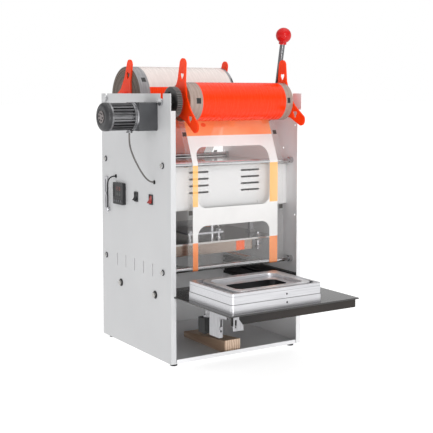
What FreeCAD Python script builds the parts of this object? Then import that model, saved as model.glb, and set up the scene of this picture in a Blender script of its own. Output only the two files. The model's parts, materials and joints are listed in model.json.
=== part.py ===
import FreeCAD
import Part
import math
import os
from FreeCAD import Vector

os.makedirs("parts", exist_ok=True)

# Tray sealing machine, millimetres, +Z up, +X to the operator's right, +Y to the rear.
# Origin: on the floor plane, under the middle of the cabinet.

# cabinet
WIDTH = 340.0
DEPTH = 325.0
PANEL_HEIGHT = 570.0
FOOT_HEIGHT = 7.0
SHEET = 1.5
FRONT_RETURN = 12.0
HALF_W = WIDTH / 2
HALF_D = DEPTH / 2
TOP_Z = FOOT_HEIGHT + PANEL_HEIGHT
INNER_X = HALF_W - SHEET
FRONT_Y = -HALF_D
REAR_Y = HALF_D

# inner housing and its louvred cover
HOUSING_BOTTOM = 324.0
HOUSING_TOP = 418.0
HOUSING_FRONT = -108.0
HOUSING_REAR = 122.0
DECK_THICK = 3.0
SLOT_ROWS = 4
SLOT_PITCH = 14.8

# film path
ROD_FRONT_Y = -128.0
ROD_REAR_Y = 142.0
ROD_R = 5.25
ROD_UPPER_Z = 425.5
ROD_LOWER_Z = 198.2
FILM_LEFT = -112.0
FILM_RIGHT = 141.0
FILM_T = 0.3
FILM_GAP = 0.15

# rolls
TAKEUP_Y = -124.5
TAKEUP_Z = 559.0
TAKEUP_R = 41.6
SUPPLY_Y = 138.5
SUPPLY_Z = 566.0
SUPPLY_R = 74.0
SHAFT_R = 6.0
CORE_R = 17.0
STAR_TIP = 93.0
STAR_T = 3.0

# gears
WIND_MODULE = 1.25
WIND_WHEEL_TEETH = 50
WIND_PINION_TEETH = 39
LIFT_MODULE = 1.5
LIFT_TEETH = 30
BACKLASH = 0.16

# motor
WIND_CENTRES = WIND_MODULE * (WIND_WHEEL_TEETH + WIND_PINION_TEETH) / 2
MOTOR_ANGLE = math.radians(-33.4)
MOTOR_Y = TAKEUP_Y + WIND_CENTRES * math.cos(MOTOR_ANGLE)
MOTOR_Z = TAKEUP_Z + WIND_CENTRES * math.sin(MOTOR_ANGLE)
GEARBOX = 60.0

# drawer and mould
PLATE_TOP = 151.0
PLATE_T = 3.0
PLATE_HALF = 162.0
PLATE_FRONT = -373.0
PLATE_REAR = -84.0
SKIRT_HALF = 155.5
SKIRT_SETBACK = 3.0
SKIRT_DROP = 20.0
RAIL_DEPTH = 12.0
MOULD_LEFT = -148.4
MOULD_RIGHT = 75.0
MOULD_FRONT = -358.5
MOULD_REAR = -194.0
MOULD_LOWER = 17.0
MOULD_UPPER = 22.0
MOULD_CORNER = 6.0
RECESS_DEPTH = 6.0
LIP_LEFT = -126.0
LIP_RIGHT = 63.0
LIP_FRONT = -345.0
LIP_REAR = -205.0
LIP_WIDTH = 13.0
HOLE_HALF_X = 63.0
HOLE_HALF_Y = 27.0
VENT_HEIGHT = 4.2
SLIDE_Z = 145.0
SLIDE_H = 45.0

# head and lever
HEAD_PLATE_Z = 248.0
BLOCK_BOTTOM = 222.5
LEVER_Y = -3.0
LEVER_Z = 366.0
LEVER_X = 185.5
LEVER_SHAFT_R = 8.0
LEVER_SHAFT_END = -150.0
LIFT_PITCH_R = LIFT_MODULE * LIFT_TEETH / 2
RACK_X = 122.0
GUIDE_X = 97.0
GUIDE_Y = 72.0
GUIDE_R = 5.0
RUN = 0.05

# panel fittings
GROMMET_Z = 388.0
MOTOR_HOLE_Y = -92.0
SENSOR_HOLE_Y = 90.0
MOTOR_CABLE_D = 3.6
SENSOR_CABLE_D = 3.2
GROMMET_R = 3.6
CTRL_Y = 66.5
CTRL_Z = 350.0
SWITCH_Z = 349.5
BLACK_SWITCH_Y = -9.5
RED_SWITCH_Y = -77.5


def box(x0, x1, y0, y1, z0, z1):
    return Part.makeBox(x1 - x0, y1 - y0, z1 - z0, Vector(x0, y0, z0))


def cyl_x(r, x0, x1, y, z):
    return Part.makeCylinder(r, x1 - x0, Vector(x0, y, z), Vector(1, 0, 0))


def cyl_y(r, x, y0, y1, z):
    return Part.makeCylinder(r, y1 - y0, Vector(x, y0, z), Vector(0, 1, 0))


def cyl_z(r, x, y, z0, z1):
    return Part.makeCylinder(r, z1 - z0, Vector(x, y, z0), Vector(0, 0, 1))


def hex_x(across, x0, x1, y, z):
    r = across / math.sqrt(3)
    points = []
    for i in range(7):
        a = math.radians(60 * i + 30)
        points.append(Vector(x0, y + r * math.cos(a), z + r * math.sin(a)))
    return Part.Face(Part.makePolygon(points)).extrude(Vector(x1 - x0, 0, 0))


def hex_z(across, x, y, z0, z1):
    r = across / math.sqrt(3)
    points = []
    for i in range(7):
        a = math.radians(60 * i)
        points.append(Vector(x + r * math.cos(a), y + r * math.sin(a), z0))
    return Part.Face(Part.makePolygon(points)).extrude(Vector(0, 0, z1 - z0))


def rounded_z(x0, x1, y0, y1, z0, z1, r):
    block = box(x0, x1, y0, y1, z0, z1)
    edges = []
    for edge in block.Edges:
        a = edge.Vertexes[0].Point
        b = edge.Vertexes[1].Point
        if abs(a.z - b.z) > 0.5 * (z1 - z0) and abs(a.x - b.x) < 0.01 and abs(a.y - b.y) < 0.01:
            edges.append(edge)
    return block.makeFillet(r, edges)


def rounded_x(x0, x1, y0, y1, z0, z1, r):
    block = box(x0, x1, y0, y1, z0, z1)
    edges = []
    for edge in block.Edges:
        a = edge.Vertexes[0].Point
        b = edge.Vertexes[1].Point
        if abs(a.x - b.x) > 0.5 * (x1 - x0) and abs(a.y - b.y) < 0.01 and abs(a.z - b.z) < 0.01:
            edges.append(edge)
    return block.makeFillet(r, edges)


def slot_x(x0, x1, y, z0, z1, width):
    """A slot through a sheet that faces X, long in Z."""
    r = width / 2
    body = box(x0, x1, y - r, y + r, z0 + r, z1 - r)
    body = body.fuse(cyl_x(r, x0, x1, y, z0 + r))
    return body.fuse(cyl_x(r, x0, x1, y, z1 - r))


def slot_front(x0, x1, y0, y1, z, width):
    """A slot through a sheet that faces Y, long in X."""
    r = width / 2
    body = box(x0 + r, x1 - r, y0, y1, z - r, z + r)
    body = body.fuse(cyl_y(r, x0 + r, y0, y1, z))
    return body.fuse(cyl_y(r, x1 - r, y0, y1, z))


def join(first, others):
    return first.fuse(others).removeSplitter()


def save(name, shape):
    if isinstance(shape, list):
        shape = Part.makeCompound(shape)
    shape.exportStep(os.path.join("parts", name + ".step"))


# Side panels ---------------------------------------------------------------

def side_panel(side):
    outer = side * HALF_W
    inner = side * INNER_X
    x0 = min(outer, inner)
    x1 = max(outer, inner)
    tab = side * (INNER_X - FRONT_RETURN + SHEET)
    f0 = min(tab, inner)
    f1 = max(tab, inner)
    panel = box(x0, x1, FRONT_Y, REAR_Y, FOOT_HEIGHT, TOP_Z)
    front = box(f0, f1, FRONT_Y, FRONT_Y + SHEET, FOOT_HEIGHT, TOP_Z - 36)
    rear = box(f0, f1, REAR_Y - SHEET, REAR_Y, FOOT_HEIGHT, HOUSING_TOP)
    panel = join(panel, [front, rear])
    a = x0 - 1
    b = x1 + 1
    cuts = []
    for y, z in ((TAKEUP_Y, TAKEUP_Z), (SUPPLY_Y, SUPPLY_Z)):
        cuts.append(cyl_x(SHAFT_R + RUN, a, b, y, z))
        cuts.append(box(a, b, y - SHAFT_R - RUN, y + SHAFT_R + RUN, z, TOP_Z + 1))
    for y in (ROD_FRONT_Y, ROD_REAR_Y):
        for z in (ROD_UPPER_Z, ROD_LOWER_Z):
            cuts.append(cyl_x(3.0, a, b, y, z))
    if side < 0:
        for i in range(5):
            y = FRONT_Y + 80 + 42.1 * i
            cuts.append(slot_x(a, b, y, 183.0, 211.0, 2.6))
        for y in (MOTOR_HOLE_Y, SENSOR_HOLE_Y):
            cuts.append(cyl_x(GROMMET_R, a, b, y, GROMMET_Z))
        cuts.append(box(a, b, CTRL_Y - 22.5, CTRL_Y + 22.5, CTRL_Z - 22.5, CTRL_Z + 22.5))
        for y in (BLACK_SWITCH_Y, RED_SWITCH_Y):
            cuts.append(box(a, b, y - 6.6, y + 6.6, SWITCH_Z - 9.6, SWITCH_Z + 9.6))
        cuts.append(cyl_x(11.0, a, b, MOTOR_Y, MOTOR_Z))
    else:
        cuts.append(cyl_x(LEVER_SHAFT_R + RUN, a, b, LEVER_Y, LEVER_Z))
        for y, z in ((-140.0, 505.0), (-140.0, 300.0), (-96.0, 452.0)):
            cuts.append(cyl_x(2.2, a, b, y, z))
    for y in (-93.5, 67.5):
        cuts.append(cyl_x(2.6, a, b, y, SLIDE_Z))
    notch = side * (PLATE_HALF + 1.0)
    cuts.append(box(min(notch, side * 150), max(notch, side * 150), FRONT_Y - 1, FRONT_Y + SHEET + 1,
                    PLATE_TOP - PLATE_T - 0.5, PLATE_TOP + 0.5))
    return panel.cut(cuts)


save("side_panel_left", side_panel(-1))
save("side_panel_right", side_panel(1))

# Floor pan, rear panel, housing --------------------------------------------

IN_Z0 = FOOT_HEIGHT
pan = box(-INNER_X, INNER_X, FRONT_Y + SHEET, REAR_Y - SHEET, IN_Z0, IN_Z0 + SHEET)
front_lip = box(-INNER_X + 12, INNER_X - 12, FRONT_Y, FRONT_Y + SHEET, IN_Z0, IN_Z0 + 9)
save("floor_pan", join(pan, [front_lip]))

rear_low = IN_Z0 + SHEET
rear = box(-INNER_X, INNER_X, REAR_Y - 2 * SHEET, REAR_Y - SHEET, rear_low, HOUSING_TOP)
save("rear_panel", rear)

# the housing is welded up from plates; a hanger under its top carries the lever shaft's left end
WALL = 2.0
HANGER_X = -148.0
rack_y = LEVER_Y - LIFT_PITCH_R
side_low = HOUSING_BOTTOM + WALL
side_high = HOUSING_TOP - WALL
bottom = box(-INNER_X, INNER_X, HOUSING_FRONT, HOUSING_REAR, HOUSING_BOTTOM, side_low)
rack_slots = []
for x in (-RACK_X, RACK_X):
    rack_slots.append(box(x - 7, x + 7, rack_y - 14, rack_y + 6, HOUSING_BOTTOM - 1, side_low + 1))
bottom = bottom.cut(rack_slots)
top = box(-INNER_X, INNER_X, HOUSING_FRONT, HOUSING_REAR, side_high, HOUSING_TOP)
hanger = box(HANGER_X, HANGER_X + 6, LEVER_Y - 14, LEVER_Y + 14, LEVER_Z - 14, side_high)
hanger = hanger.cut(cyl_x(LEVER_SHAFT_R + RUN, HANGER_X - 1, HANGER_X + 7, LEVER_Y, LEVER_Z))
front = box(-INNER_X, INNER_X, HOUSING_FRONT, HOUSING_FRONT + WALL, side_low, side_high)
front = front.cut(box(-124.0, 128.0, HOUSING_FRONT - 1, HOUSING_FRONT + 3, 340.0, 412.0))
rear_wall = box(-INNER_X, INNER_X, HOUSING_REAR - WALL, HOUSING_REAR, side_low, side_high)
ends = []
for s in (-1, 1):
    outer = s * INNER_X
    inner = s * (INNER_X - WALL)
    end = box(min(outer, inner), max(outer, inner), HOUSING_FRONT + WALL, HOUSING_REAR - WALL,
              side_low, side_high)
    x0 = min(outer, inner) - 1
    x1 = max(outer, inner) + 1
    if s < 0:
        holes = [box(x0, x1, CTRL_Y - 24.5, CTRL_Y + 24.5, side_low - 1, CTRL_Z + 24.5)]
        for y in (BLACK_SWITCH_Y, RED_SWITCH_Y):
            holes.append(box(x0, x1, y - 8.5, y + 8.5, SWITCH_Z - 11.5, SWITCH_Z + 11.5))
        for y in (MOTOR_HOLE_Y, SENSOR_HOLE_Y):
            holes.append(cyl_x(5.2, x0, x1, y, GROMMET_Z))
    else:
        holes = [cyl_x(12.0, x0, x1, LEVER_Y, LEVER_Z)]
    ends.append(end.cut(holes))
save("inner_box", [bottom, join(top, [hanger]), front, rear_wall] + ends)

cover = box(-128.0, 132.0, HOUSING_FRONT - 1.2, HOUSING_FRONT, 328.0, HOUSING_TOP)
cuts = []
for x0, x1 in ((-94.0, -44.0), (41.0, 91.0)):
    for row in range(SLOT_ROWS):
        z = 406.0 - SLOT_PITCH * row
        cuts.append(slot_front(x0, x1, HOUSING_FRONT - 3, HOUSING_FRONT + 1, z, VENT_HEIGHT))
cover = cover.cut(cuts)
screws = []
for x in (-88.0, 88.0):
    screws.append(cyl_y(3.2, x, HOUSING_FRONT - 2.8, HOUSING_FRONT - 1.2, 335.0))
save("louvre_cover", join(cover, screws))

deck = box(-INNER_X, INNER_X, HOUSING_FRONT - 8, HOUSING_REAR, HOUSING_TOP, HOUSING_TOP + DECK_THICK)
save("deck_plate", deck)

feet = []
for sx in (-1, 1):
    for sy in (-1, 1):
        x = sx * (HALF_W - 16)
        y = sy * (HALF_D - 18)
        cone = Part.makeCone(7.5, 9.0, FOOT_HEIGHT, Vector(x, y, 0), Vector(0, 0, 1))
        feet.append(cone)
save("feet", feet)

# Film cross rods -----------------------------------------------------------

def film_rod(y, z):
    rod = cyl_x(ROD_R, -INNER_X, INNER_X, y, z)
    parts = []
    for s in (-1, 1):
        inner = s * INNER_X
        boss0 = min(inner, inner - s * 9)
        boss1 = max(inner, inner - s * 9)
        parts.append(cyl_x(7.0, boss0, boss1, y, z))
        shank0 = min(inner - s, s * HALF_W + s * 0.5)
        shank1 = max(inner - s, s * HALF_W + s * 0.5)
        parts.append(cyl_x(3.0, shank0, shank1, y, z))
        head0 = min(s * HALF_W, s * (HALF_W + 4.0))
        head1 = max(s * HALF_W, s * (HALF_W + 4.0))
        head = cyl_x(5.2, head0, head1, y, z)
        socket0 = min(s * (HALF_W + 2.0), s * (HALF_W + 5.0))
        socket1 = max(s * (HALF_W + 2.0), s * (HALF_W + 5.0))
        parts.append(head.cut(hex_x(4.0, socket0, socket1, y, z)))
    return join(rod, parts)


save("rod_upper_front", film_rod(ROD_FRONT_Y, ROD_UPPER_Z))
save("rod_upper_rear", film_rod(ROD_REAR_Y, ROD_UPPER_Z))
save("rod_lower_front", film_rod(ROD_FRONT_Y, ROD_LOWER_Z))
save("rod_lower_rear", film_rod(ROD_REAR_Y, ROD_LOWER_Z))

# Drawer rails --------------------------------------------------------------

for side, label in ((-1, "left"), (1, "right")):
    face = side * INNER_X
    lip = side * (INNER_X - RAIL_DEPTH)
    rail = box(min(face, lip), max(face, lip), -160.0, 140.0, SLIDE_Z - SLIDE_H / 2, SLIDE_Z + SLIDE_H / 2)
    g0 = side * (PLATE_HALF + 1.0)
    g1 = side * (INNER_X - RAIL_DEPTH - 1)
    groove = box(min(g0, g1), max(g0, g1), -161.0, 141.0, PLATE_TOP - PLATE_T - 0.3, PLATE_TOP + 0.3)
    r0 = side * (INNER_X - RAIL_DEPTH + 2.5)
    upper_relief = box(min(r0, g1), max(r0, g1), -161.0, 141.0, PLATE_TOP + 5, PLATE_TOP + 12)
    lower_relief = box(min(r0, g1), max(r0, g1), -161.0, 141.0, PLATE_TOP - 22, PLATE_TOP - 9)
    rail = rail.cut([groove, upper_relief, lower_relief])
    bolts = []
    for y in (-93.5, 67.5):
        a = side * (INNER_X - 2.0)
        b = side * (HALF_W + 3.4)
        bolts.append(cyl_x(2.6, min(a, b), max(a, b), y, SLIDE_Z))
        c = side * HALF_W
        bolts.append(hex_x(9.0, min(c, b), max(c, b), y, SLIDE_Z))
    save("drawer_rail_" + label, join(rail, bolts))

# Drawer --------------------------------------------------------------------

plate = box(-PLATE_HALF, PLATE_HALF, PLATE_FRONT, PLATE_REAR, PLATE_TOP - PLATE_T, PLATE_TOP)
mould_cx = (MOULD_LEFT + MOULD_RIGHT) / 2
mould_cy = (MOULD_FRONT + MOULD_REAR) / 2
plate = plate.cut(rounded_z(mould_cx - 80, mould_cx + 80, mould_cy - 52, mould_cy + 52,
                            PLATE_TOP - PLATE_T - 1, PLATE_TOP + 1, 18))
save("drawer_plate", plate)

under = PLATE_TOP - PLATE_T
skirt_y = PLATE_FRONT + SKIRT_SETBACK
skirt_bar = box(-SKIRT_HALF, SKIRT_HALF, skirt_y, skirt_y + 4, PLATE_TOP - SKIRT_DROP, under)
skirt_tab = box(-SKIRT_HALF, SKIRT_HALF, skirt_y + 4, skirt_y + 18, under - 2, under)
save("drawer_skirt", join(skirt_bar, [skirt_tab]))

MID_Z = PLATE_TOP + MOULD_LOWER
MOULD_TOP = MID_Z + MOULD_UPPER
lower = rounded_z(MOULD_LEFT, MOULD_RIGHT, MOULD_FRONT, MOULD_REAR, PLATE_TOP, MID_Z, MOULD_CORNER)
upper = rounded_z(MOULD_LEFT + 1, MOULD_RIGHT - 1, MOULD_FRONT + 1, MOULD_REAR - 1, MID_Z, MOULD_TOP,
                  MOULD_CORNER)
base = join(lower, [upper])
base = base.cut(rounded_z(MOULD_LEFT + 9, MOULD_RIGHT - 9, MOULD_FRONT + 9, MOULD_REAR - 7,
                          MOULD_TOP - RECESS_DEPTH, MOULD_TOP + 1, 13))
lip_cx = (LIP_LEFT + LIP_RIGHT) / 2
lip_cy = (LIP_FRONT + LIP_REAR) / 2
base = base.cut(rounded_z(lip_cx - HOLE_HALF_X, lip_cx + HOLE_HALF_X, lip_cy - HOLE_HALF_Y,
                          lip_cy + HOLE_HALF_Y, PLATE_TOP - 1, MOULD_TOP + 1, 12))
hole_x = MOULD_LEFT + 0.6 * (MOULD_RIGHT - MOULD_LEFT)
base = base.cut([cyl_y(2.1, hole_x, MOULD_FRONT - 1, MOULD_FRONT + 12, PLATE_TOP + 8.5),
                 cyl_y(2.1, hole_x, MOULD_FRONT - 1, MOULD_FRONT + 12, MID_Z + 8.5)])
save("mould_base", base)

rim = rounded_z(LIP_LEFT, LIP_RIGHT, LIP_FRONT, LIP_REAR, MOULD_TOP - RECESS_DEPTH, MOULD_TOP + 0.8, 20)
rim = rim.cut(rounded_z(LIP_LEFT + LIP_WIDTH, LIP_RIGHT - LIP_WIDTH, LIP_FRONT + LIP_WIDTH,
                        LIP_REAR - LIP_WIDTH, MOULD_TOP - RECESS_DEPTH - 1, MOULD_TOP + 2, 15))
save("mould_rim", rim)

# Brackets under the drawer: a slotted channel that guides it, and a plate at its front corner
channel = box(-149.0, -140.0, -314.5, -279.5, under - 53, under)
channel = channel.cut(box(-147.0, -139.0, -311.5, -281.5, under - 54, under - 3))
channel = channel.cut(slot_front(-146.0, -141.5, -315.5, -310.5, under - 30, 4.2))
channel = channel.cut(box(-146.0, -141.8, -315.5, -310.5, under - 42, under - 16))
channel_bolt = cyl_y(3.4, -143.9, -316.0, -312.5, under - 34)
strip_rear = box(-155.0, -152.0, skirt_y + 18.3, -314.5, under - 8, under)
cross = box(-140.0, 20.0, -303.0, -293.0, under - 10, under)
channel = join(channel, [cross])
corner_y = PLATE_FRONT + 0.5
corner = Part.Face(Part.makePolygon([Vector(-153.0, corner_y, under), Vector(-140.0, corner_y, under),
                                     Vector(-140.0, corner_y, under - 5), Vector(-130.0, corner_y, under - 18),
                                     Vector(-130.0, corner_y, under - 27), Vector(-153.0, corner_y, under - 27),
                                     Vector(-153.0, corner_y, under)])).extrude(Vector(0, 2.0, 0))
corner = corner.cut(box(-149.5, -145.5, corner_y - 1, corner_y + 3, under - 21, under - 5))
save("drawer_bracket", [channel, channel_bolt, strip_rear, corner])

# A catch block hangs behind the channel on a threaded post
LATCH_X = -126.0
LATCH_Y = -234.5
latch = rounded_z(LATCH_X - 14, LATCH_X + 14, LATCH_Y - 13.5, LATCH_Y + 13.5, under - 60, under - 29, 1.5)
post = cyl_z(4.0, LATCH_X, LATCH_Y, under - 30, under)
threads = []
for i in range(6):
    threads.append(cyl_z(5.2, LATCH_X, LATCH_Y, under - 27 + 4.2 * i, under - 25 + 4.2 * i))
collar = hex_z(15.0, LATCH_X, LATCH_Y, under - 29, under - 24)
save("drawer_latch", join(latch, [post, collar] + threads))

# Gears ---------------------------------------------------------------------

def involute_profile(module, teeth, backlash, clearance):
    """Corner points of a spur gear, tooth 0 centred on angle 0."""
    pressure = math.radians(20)
    pitch = module * teeth / 2
    base_r = pitch * math.cos(pressure)
    tip = pitch + module
    root = pitch - module * (1 + clearance)
    inv = math.tan(pressure) - pressure
    half = math.pi / (2 * teeth) - backlash / (4 * pitch)
    flank = []
    steps = 6
    start = max(base_r, root)
    for k in range(steps + 1):
        r = start + (tip - start) * k / steps
        a = math.acos(min(1.0, base_r / r))
        spread = math.tan(a) - a
        flank.append((r, half + inv - spread))
    points = []
    for t in range(teeth):
        centre = 2 * math.pi * t / teeth
        low = flank[0][1]
        points.append((root, centre - low))
        for r, h in flank:
            points.append((r, centre - h))
        for r, h in reversed(flank):
            points.append((r, centre + h))
        points.append((root, centre + low))
    return points


def spur_gear(module, teeth, x0, x1, y, z, phase):
    """A spur gear on an X axis. Phase is the angle of tooth 0 from +Y towards +Z."""
    corners = []
    for r, a in involute_profile(module, teeth, BACKLASH, 0.25):
        corners.append(Vector(x0, y + r * math.cos(a + phase), z + r * math.sin(a + phase)))
    clean = []
    for p in corners:
        if not clean or (p - clean[-1]).Length > 0.01:
            clean.append(p)
    clean.append(clean[0])
    return Part.Face(Part.makePolygon(clean)).extrude(Vector(x1 - x0, 0, 0))


# Take-up roll --------------------------------------------------------------

GEAR_X0 = -149.0
GEAR_X1 = -136.5
takeup_shaft = cyl_x(SHAFT_R, -HALF_W - 5, HALF_W + 5, TAKEUP_Y, TAKEUP_Z)
collars = []
for s in (-1, 1):
    a = s * (HALF_W + 1.0)
    b = s * (HALF_W + 5.0)
    collars.append(cyl_x(8.0, min(a, b), max(a, b), TAKEUP_Y, TAKEUP_Z))
takeup_core = cyl_x(CORE_R, -123.5, 142.5, TAKEUP_Y, TAKEUP_Z)
save("takeup_shaft", join(takeup_shaft, collars + [takeup_core]))


def with_hub(gear, x0, x1, y, z, bore, hub_r, hub_x):
    hub = cyl_x(hub_r, min(x0, hub_x), max(x1, hub_x), y, z)
    return gear.fuse(hub).cut(cyl_x(bore, -HALF_W, HALF_W, y, z))


wheel = spur_gear(WIND_MODULE, WIND_WHEEL_TEETH, GEAR_X0, GEAR_X1, TAKEUP_Y, TAKEUP_Z, MOTOR_ANGLE)
wheel = wheel.cut(Part.makeCylinder(22.0, 3.0, Vector(GEAR_X0 - 1, TAKEUP_Y, TAKEUP_Z), Vector(1, 0, 0)))
wheel = with_hub(wheel, GEAR_X0, GEAR_X1, TAKEUP_Y, TAKEUP_Z, SHAFT_R, 13.0, GEAR_X0 - 7)
save("takeup_gear", wheel)


def star(x0, y, z, first):
    """A three-armed roll flange with a window in each arm."""
    disc = cyl_x(30.0, x0, x0 + STAR_T, y, z)
    shapes = []
    windows = []
    for i in range(3):
        a = math.radians(first + 120 * i)
        along = Vector(0, math.cos(a), math.sin(a))
        across = Vector(0, -math.sin(a), math.cos(a))
        centre = Vector(x0, y, z)
        tip_r = 12.5
        tip = centre + along * (STAR_TIP - tip_r)
        left0 = centre + along * 6 + across * 29
        left1 = tip + across * tip_r + along * -1.0
        right1 = tip - across * tip_r + along * -1.0
        right0 = centre + along * 6 - across * 29
        waist_l = centre + along * 46 + across * 15.5
        waist_r = centre + along * 46 - across * 15.5
        arm = Part.Face(Part.makePolygon([left0, waist_l, left1, right1, waist_r, right0, left0]))
        shapes.append(arm.extrude(Vector(STAR_T, 0, 0)))
        shapes.append(Part.makeCylinder(tip_r, STAR_T, tip, Vector(1, 0, 0)))
        lobe = centre + along * 58
        for s in (-1, 1):
            windows.append(Part.makeCylinder(4.3, STAR_T + 2, lobe + across * (3.6 * s) + Vector(-1, 0, 0),
                                             Vector(1, 0, 0)))
        p0 = lobe + across * 7.4 - along * 2.2 + Vector(-1, 0, 0)
        p1 = lobe - across * 7.4 - along * 2.2 + Vector(-1, 0, 0)
        p2 = lobe - along * 13 + Vector(-1, 0, 0)
        heart = Part.Face(Part.makePolygon([p0, p1, p2, p0]))
        windows.append(heart.extrude(Vector(STAR_T + 2, 0, 0)))
    plate = disc.fuse(shapes).removeSplitter()
    return plate.cut(windows)


def star_with_hub(x0, y, z, first, outward):
    plate = star(x0, y, z, first)
    if outward < 0:
        hub = cyl_x(13.0, x0 - 7, x0 + 0.5, y, z)
    else:
        hub = cyl_x(13.0, x0 + STAR_T - 0.5, x0 + STAR_T + 7, y, z)
    body = plate.fuse(hub).removeSplitter()
    return body.cut(cyl_x(SHAFT_R, x0 - 20, x0 + 20, y, z))


TAKEUP_X0 = -123.5
TAKEUP_X1 = 142.5
save("takeup_star_left", star_with_hub(TAKEUP_X0 - STAR_T, TAKEUP_Y, TAKEUP_Z, 99.5, -1))
save("takeup_star_right", star_with_hub(TAKEUP_X1, TAKEUP_Y, TAKEUP_Z, 90.0, 1))


def wound_roll(x0, x1, y, z, radius, face_depth):
    film = cyl_x(radius, x0, x1, y, z)
    for r in range(2):
        ring = radius - 9 - 14 * r
        if ring > CORE_R + 6:
            for end in (x0, x1 - face_depth):
                groove = cyl_x(ring, end, end + face_depth, y, z).cut(
                    cyl_x(ring - 1.4, end, end + face_depth, y, z))
                film = film.cut(groove)
    return film.cut(cyl_x(CORE_R, x0 - 1, x1 + 1, y, z))


save("takeup_roll", wound_roll(TAKEUP_X0, TAKEUP_X1, TAKEUP_Y, TAKEUP_Z, TAKEUP_R, 0.8))

# Supply roll ---------------------------------------------------------------

SUPPLY_X0 = -118.0
SUPPLY_X1 = 142.5
supply_shaft = cyl_x(SHAFT_R, -HALF_W - 5, HALF_W + 5, SUPPLY_Y, SUPPLY_Z)
collars = []
for s in (-1, 1):
    a = s * (HALF_W + 1.0)
    b = s * (HALF_W + 5.0)
    collars.append(cyl_x(8.0, min(a, b), max(a, b), SUPPLY_Y, SUPPLY_Z))
supply_core = cyl_x(CORE_R, SUPPLY_X0, SUPPLY_X1, SUPPLY_Y, SUPPLY_Z)
save("supply_shaft", join(supply_shaft, collars + [supply_core]))
save("supply_star_left", star_with_hub(SUPPLY_X0 - STAR_T, SUPPLY_Y, SUPPLY_Z, 107.0, -1))
save("supply_star_right", star_with_hub(SUPPLY_X1, SUPPLY_Y, SUPPLY_Z, 107.0, 1))
save("supply_roll", wound_roll(SUPPLY_X0, SUPPLY_X1, SUPPLY_Y, SUPPLY_Z, SUPPLY_R, 0.8))

# Gear motor ----------------------------------------------------------------

half_box = GEARBOX / 2
gearbox = rounded_x(-HALF_W - 44, -HALF_W, MOTOR_Y - half_box, MOTOR_Y + half_box,
                    MOTOR_Z - half_box, MOTOR_Z + half_box, 4)
gearbox = gearbox.cut(cyl_x(22.0, -HALF_W - 45, -HALF_W - 41, MOTOR_Y, MOTOR_Z))
gearbox = gearbox.cut(cyl_x(10.0, -HALF_W - 12, -HALF_W + 1, MOTOR_Y, MOTOR_Z))
save("motor_gearbox", gearbox)

MB0 = -HALF_W - 105
MB1 = -HALF_W - 44
GLAND_X = MB1 - 8
GLAND_Z = MOTOR_Z - 34
motor = cyl_x(22.0, MB0, MB1 + 2, MOTOR_Y, MOTOR_Z)
motor = motor.fuse(cyl_x(30.0, MB1 - 8, MB1 - 3, MOTOR_Y, MOTOR_Z))
motor = motor.fuse(cyl_x(30.0, MB0, MB0 + 4, MOTOR_Y, MOTOR_Z))
fins = []
for i in range(24):
    a = math.radians(15 * i)
    fin = box(MB0, MB1 - 3, -0.9, 0.9, 20.0, 29.0)
    fin.rotate(Vector(0, 0, 0), Vector(1, 0, 0), math.degrees(a))
    fin.translate(Vector(0, MOTOR_Y, MOTOR_Z))
    fins.append(fin)
motor = join(motor, fins)
gland = cyl_z(7.0, GLAND_X, MOTOR_Y, GLAND_Z, MOTOR_Z - 31.2)
gland = gland.fuse(cyl_z(4.4, GLAND_X, MOTOR_Y, GLAND_Z + 1, MOTOR_Z - 20))
motor = motor.fuse(gland).removeSplitter()
save("motor_body", motor)

ring = cyl_x(31.0, MB1 - 3, MB1, MOTOR_Y, MOTOR_Z)
save("motor_ring", ring.cut(cyl_x(22.0, MB1 - 4, MB1 + 1, MOTOR_Y, MOTOR_Z)))

end_cap = Part.makeCylinder(30.0, 8.0, Vector(MB0, MOTOR_Y, MOTOR_Z), Vector(-1, 0, 0))
dome = Part.makeCone(30.0, 24.0, 6.0, Vector(MB0 - 8, MOTOR_Y, MOTOR_Z), Vector(-1, 0, 0))
end_cap = end_cap.fuse(dome)
studs = []
for i in range(4):
    a = math.radians(45 + 90 * i)
    studs.append(Part.makeCylinder(2.2, 1.6, Vector(MB0 - 14, MOTOR_Y + 17 * math.cos(a),
                                                    MOTOR_Z + 17 * math.sin(a)), Vector(-1, 0, 0)))
save("motor_end_cap", join(end_cap, studs))

# the motor's pinion has a gap facing the wheel
gap_phase = MOTOR_ANGLE + math.pi + math.pi / WIND_PINION_TEETH
pinion = spur_gear(WIND_MODULE, WIND_PINION_TEETH, GEAR_X0, GEAR_X1, MOTOR_Y, MOTOR_Z, gap_phase)
pinion = pinion.fuse(cyl_x(9.0, -162.0, GEAR_X0 + 1, MOTOR_Y, MOTOR_Z))
pinion = pinion.fuse(cyl_x(5.0, -HALF_W - 11, GEAR_X1 + 3, MOTOR_Y, MOTOR_Z)).removeSplitter()
save("motor_gear", pinion)

# Temperature controller ----------------------------------------------------

face = rounded_x(-HALF_W - 8, -HALF_W, CTRL_Y - 24.5, CTRL_Y + 24.5, CTRL_Z - 24.5, CTRL_Z + 24.5, 2.5)
can = box(-HALF_W - 1, -HALF_W + 58, CTRL_Y - 22.3, CTRL_Y + 22.3, CTRL_Z - 22.3, CTRL_Z + 22.3)
controller = face.fuse(can).removeSplitter()
window = box(-HALF_W - 9, -HALF_W - 7.2, CTRL_Y - 20, CTRL_Y + 20, CTRL_Z - 8, CTRL_Z + 19)
controller = controller.cut(window)
KEY_NAMES = ("key_set", "key_shift", "key_down", "key_up")
for i in range(4):
    ky = CTRL_Y + 16.5 - 11.0 * i
    well = box(-HALF_W - 9, -HALF_W - 5.2, ky - 3.9, ky + 3.9, CTRL_Z - 19.3, CTRL_Z - 13.7)
    controller = controller.cut(well)
    key = rounded_x(-HALF_W - 9.0, -HALF_W - 6.4, ky - 3.6, ky + 3.6, CTRL_Z - 19.0, CTRL_Z - 14.0, 1.0)
    save(KEY_NAMES[i], key)
save("controller_body", controller)

# Rocker switches -----------------------------------------------------------

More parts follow.
